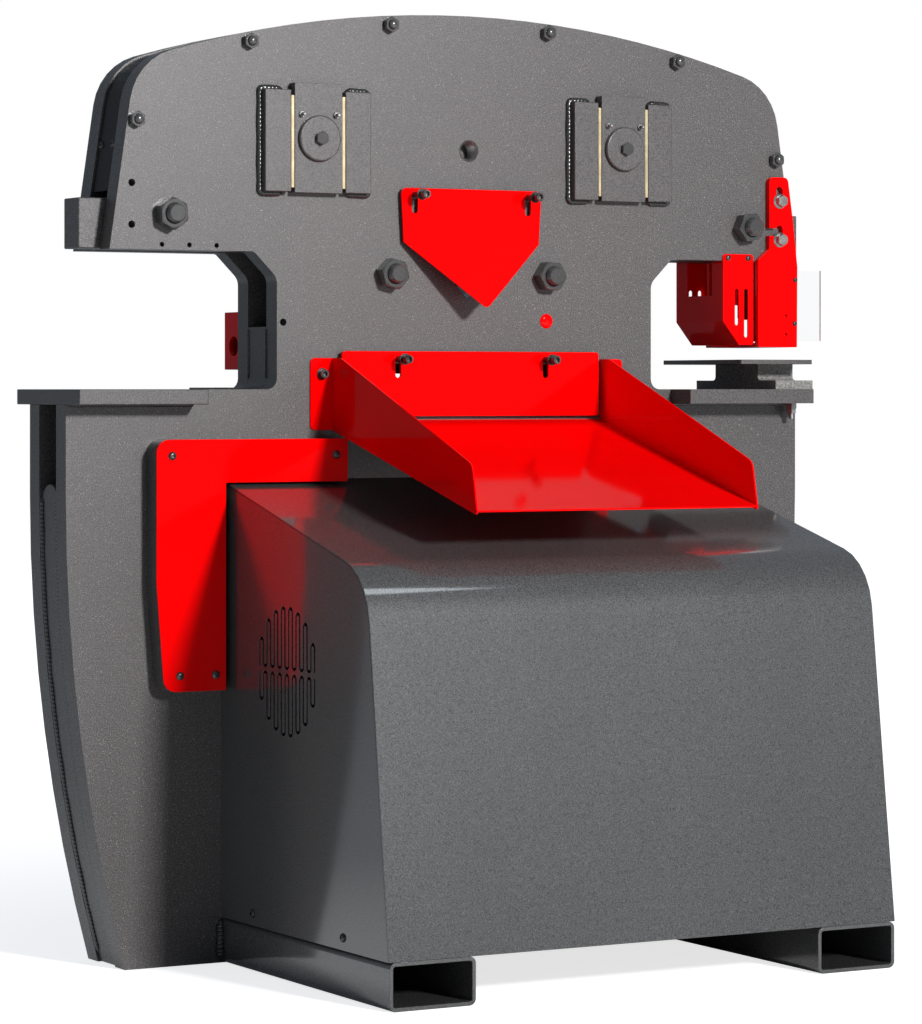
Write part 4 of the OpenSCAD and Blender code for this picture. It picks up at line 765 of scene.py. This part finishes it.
def cover_fasteners():
    """Button screws of the side cover, shroud, hood panels and rear cover, of the clear shield, and of the
    crown cover at the left arm's edge."""
    screw, shroud_screw = button_head(0.004, 0.003), button_head(0.003, 0.003)
    parts = []
    for x, z in SIDE_COVER_SCREWS:
        parts.append(placed(screw, "front", (x, -COVER_FACE, z)))
    for x in SHROUD_SCREWS_X:
        for facing, sign in FRONT_REAR:
            parts.append(placed(shroud_screw, facing, (x, sign * SHEET_FACE, SHROUD_SCREWS_Z)))
    for y in HOOD_SCREWS_Y:
        for facing, sign in (("left", -1), ("right", 1)):
            parts.append(placed(screw, facing, (sign * HOOD_SIDE, y, HOOD_SCREWS_Z)))
    for x in REAR_SCREWS_X:
        for z in REAR_SCREWS_Z:
            parts.append(placed(screw, "rear", (x, SHEET_FACE, z)))
    build("cover_screws_domed", parts, "frame", BLACK, ["cover_screws"], 30)
    screw = button_head(0.0025, 0.002)
    parts = [placed(screw, "front", (x, -SHIELD_FACE, z)) for x, z in SHIELD_SCREWS]
    build("shield_screws", parts, "stripper", BLACK, (), 30)
    sin, cos = math.sin(ARM_LEAN), math.cos(ARM_LEAN)
    outward = np.array([[0, sin, -cos], [-1, 0, 0], [0, cos, sin]])
    screw = button_head(0.0035, 0.002)
    x, z = on_arm(CROWN_SCREWS_IN, CROWN_SCREWS_UP)
    parts = [placed(screw, outward, (x, y, z)) for y in CROWN_SCREWS_Y]
    build("crown_cover_screws", parts, "frame", BLACK, (), 30)


def eye_thread():
    """Thread in the lifting eye: a ring whose bore is 14.9 mm less a triangle wave of depth over pitch
    less turn, which grows over the first 5 mm, closed round the outside at 15 mm."""
    start, end, lead_in = 0.0042, 0.030, 0.005
    pitch, height, wall = 0.0035, 0.0016, 0.00005
    theta = angles(96)
    depth = np.linspace(start, end, 90)[:, None]
    lead = np.clip((depth - start) / lead_in, 0, 1)
    bore = EYE_R - height * lead * (1 - thread_wave(depth / pitch, theta))
    radius = np.vstack([bore, np.full((2, len(theta)), EYE_R + wall), bore[:1]])
    y = np.vstack([depth, [[end], [start], [start]]]) - FACE
    part = skin(np.stack(np.broadcast_arrays(radius * np.cos(theta), y, radius * np.sin(theta) + EYE_Z), 2))
    build("lifting_eye_thread", [part], "frame", STEEL, (), 40)


tie_fasteners()
eye_thread()
rim_fasteners()
guide_fasteners()
guard_fasteners()
stripper_fasteners()
cover_fasteners()


# Weld beads where plates, tubes and strips meet
def flank_points(edge, side):
    """Line 4 mm inside the lower plate edge, which draws in on its way down: x is the edge less the arc's
    radius plus the root of the inner radius squared less the drop squared."""
    inset = 0.004
    z = np.linspace(0.015, FLANK_TOP, 60)
    x = edge - FLANK_R + np.sqrt((FLANK_R - inset) ** 2 - (FLANK_TOP - z) ** 2)
    return np.stack([side * x, np.zeros_like(z), z], 1)


def welds():
    """Beads in the edges' grooves, at the fork tubes, round the guide rails and under the tables, and small
    ones in the throats."""
    beads, small = [], []
    grooves = ((-INNER, 1), (INNER, -1))
    for side, edge in FLANK_EDGES:
        for y, way in grooves:
            line = flank_points(edge, side) + [0, y, 0]
            out = (side * 0.35, 0, 0)
            beads.append(weld_part(line, out, (0, way, 0), width=0.009, step=0.007, seed=y * 50))
    for side in (-1, 1):
        for x, way in ((FORK_OUT, 1), (FORK_IN, -1)):
            line = [(side * x, -FACE, z) for z in np.linspace(0.004, 0.073, 12)]
            out = (side * way, 0, 0)
            beads.append(weld_part(line, out, (0, -1, 0), width=0.011, step=0.007, seed=x))
    for x in (-GUIDE_X, GUIDE_X):
        for way in (-1, 1):
            for facing in (-1, 1):
                ends = x + way * RAIL_IN, x + way * RAIL_OUT
                path, out = rail_path(*ends, RAIL_LOW, RAIL_HIGH, facing * FACE)
                beads.append(weld_part(
                    path, out, (0, 0.9 * facing, 0), width=0.0075, step=0.007, seed=x + way, ripple=0.07
                ))
    for x0, x1 in TABLE_ENDS:
        for facing in (-1, 1):
            line = [(x, facing * FACE, TABLE - TABLE_T) for x in np.linspace(x0, x1, 40)]
            beads.append(weld_part(line, (0, facing, 0), (0, 0, -1), width=0.004, step=0.006, seed=x0))
    for side in (-1, 1):
        for y, way in grooves:
            line = [(side * THROAT_X, y, z) for z in np.linspace(THROAT_LOW, THROAT_HIGH, 20)]
            out = (side * 0.6, 0, 0)
            small.append(weld_part(line, out, (0, way, 0), width=0.004, step=0.006, seed=y))
    # The beads take the darker weld coat, which paints shade into them; the throat beads keep the plate's
    # coat
    build("weld_beads", beads, "frame", SHADED_WELD_COAT, (), 60)
    build("throat_beads", small, "frame", GREY, (), 60)


welds()


# Power pack: the hoses run from the cylinder's ports to the valve block's
HOSE_ENDS = (((0, -0.100, 0.530), (0.195, -0.368, 0.475)), ((0, -0.100, 0.290), (0.265, -0.368, 0.475)))
HOSE_R, FERRULE_R, CRIMP = 0.0098, 0.0125, 0.0006
HOSE_PULL = 0.11  # how far a port's direction pulls the curve


def hose_route(start, end):
    """Cubic curve with control points a, b, c and d that leaves the cylinder port and enters the valve port
    square on."""
    a, d = np.array(start, float), np.array(end, float)
    b, c = a - [0, HOSE_PULL, 0], d + [0, HOSE_PULL, 0]
    t = np.linspace(0, 1, 60)[:, None]
    return (1 - t) ** 3 * a + 3 * (1 - t) ** 2 * t * b + 3 * (1 - t) * t ** 2 * c + t ** 3 * d


def hoses():
    """Hoses, with a ferrule over the first and last steps of each, crimped by |sin| of its length."""
    parts, ends = [], []
    steps = 9
    crimped = FERRULE_R - CRIMP * np.abs(np.sin(np.linspace(0, 3 * math.pi, steps)))
    for start, end in HOSE_ENDS:
        route = hose_route(start, end)
        parts.append(swept(route, HOSE_R))
        ends += [swept(route[:steps], crimped), swept(route[-steps:], crimped)]
    build("hydraulic_hoses", parts, "frame", HOSE, ["hoses"], 40)
    build("hose_ferrules", ends, "frame", STEEL, (), 30)


hoses()


# Floor, light and background
def seen_rays(tree, glossy):
    """1 for rays from the camera or through glass, and a share, number or socket, for mirrored rays."""
    path = node(tree, "ShaderNodeLightPath").outputs
    either = maths(tree, "MAXIMUM", path["Is Camera Ray"], path["Is Transmission Ray"])
    return maths(tree, "MAXIMUM", either, maths(tree, "MULTIPLY", path["Is Glossy Ray"], glossy))


def backdrop():
    """Pale floor; it shows white to the camera, paler with distance, and keeps the shadow nearby. Mirrored
    rays see a share of that, less far out, and none under the machine: painted shade in the floor's
    reflections."""
    mat, tree, bsdf = new_material("studio_floor")
    at = position(tree)
    far = node(tree, "ShaderNodeVectorMath", operation="LENGTH", Vector=at).outputs["Value"]
    axes = node(tree, "ShaderNodeSeparateXYZ", Vector=at).outputs
    ahead = maths(tree, "MULTIPLY_ADD", axes["Y"], -1.0, -0.25)
    outside = maths(tree, "MAXIMUM", maths(tree, "ABSOLUTE", axes["X"]), ahead)
    # No glow under the machine's footprint for mirrored rays: painted shade under the machine in
    # reflections
    mirror_glow_painted_shade = ranged(tree, outside, start=0.5, end=0.62, low=0.0, high=0.6)
    dimmer = ranged(tree, far, start=0.7, end=1.7, low=1.0, high=0.24)
    seen = seen_rays(tree, maths(tree, "MULTIPLY", mirror_glow_painted_shade, dimmer))
    spread = ranged(tree, far, start=0.7, end=2.6, low=0.75, high=1.0)
    feed(tree, bsdf, {
        "Base Color": (0.78, 0.78, 0.78, 1),
        "Roughness": 0.9,
        "Specular IOR Level": 0.1,
        "Emission Color": (1, 1, 1, 1),
        "Emission Strength": maths(tree, "MULTIPLY", spread, seen),
    })
    mesh = bpy.data.meshes.new("floor")
    half, z = 14.0, -0.0006
    corners = [(-half, -half, z), (half, -half, z), (half, half, z), (-half, half, z)]
    mesh.from_pydata(corners, [], [(0, 1, 2, 3)])
    floor = bpy.data.objects.new("floor", mesh)
    mesh.materials.append(mat)
    scene.collection.objects.link(floor)


def add_lamp(name, at, target, size, energy, tint=(1, 1, 1)):
    """Square soft lamp at a point, turned to a target."""
    data = bpy.data.lights.new(name, "AREA")
    data.shape = "RECTANGLE"
    data.size = data.size_y = size
    data.energy = energy
    data.color = tint
    lamp = bpy.data.objects.new(name, data)
    scene.collection.objects.link(lamp)
    way = np.subtract(target, at)
    way /= np.linalg.norm(way)
    lamp.location = at
    lamp.rotation_euler = (math.acos(-way[2]), 0, math.atan2(way[1], way[0]) - math.pi / 2)


def lights():
    """One studio lamp far in front, right of the lens and above the machine, and a small cool one
    overhead."""
    add_lamp("key", at=(1.55, -9.2, 4.15), target=(0.0, -0.1, 0.85), size=1.0, energy=1070)
    add_lamp(
        "overhead", at=(0.95, -1.78, 3.03), target=(-0.40, -0.70, 0.60), size=0.40, energy=2.8,
        tint=(0.85, 0.93, 1)
    )


def world():
    """Even dim room light; the camera and glass see it white, and mirrored rays a small share of that."""
    made = bpy.data.worlds.new("studio")
    scene.world = made
    made.use_nodes = True
    tree = made.node_tree
    tree.nodes.clear()
    out = tree.nodes.new("ShaderNodeOutputWorld")
    seen = node(tree, "ShaderNodeBackground", Color=(1, 1, 1, 1), Strength=1.0)
    lit = node(tree, "ShaderNodeBackground", Color=(0.70, 0.84, 1, 1), Strength=0.22)
    mix = tree.nodes.new("ShaderNodeMixShader")
    for socket, target in zip((seen_rays(tree, 0.05), lit.outputs[0], seen.outputs[0]), mix.inputs):
        tree.links.new(socket, target)
    tree.links.new(mix.outputs[0], out.inputs[0])


backdrop()
lights()
world()
scene.view_settings.view_transform = "Standard"
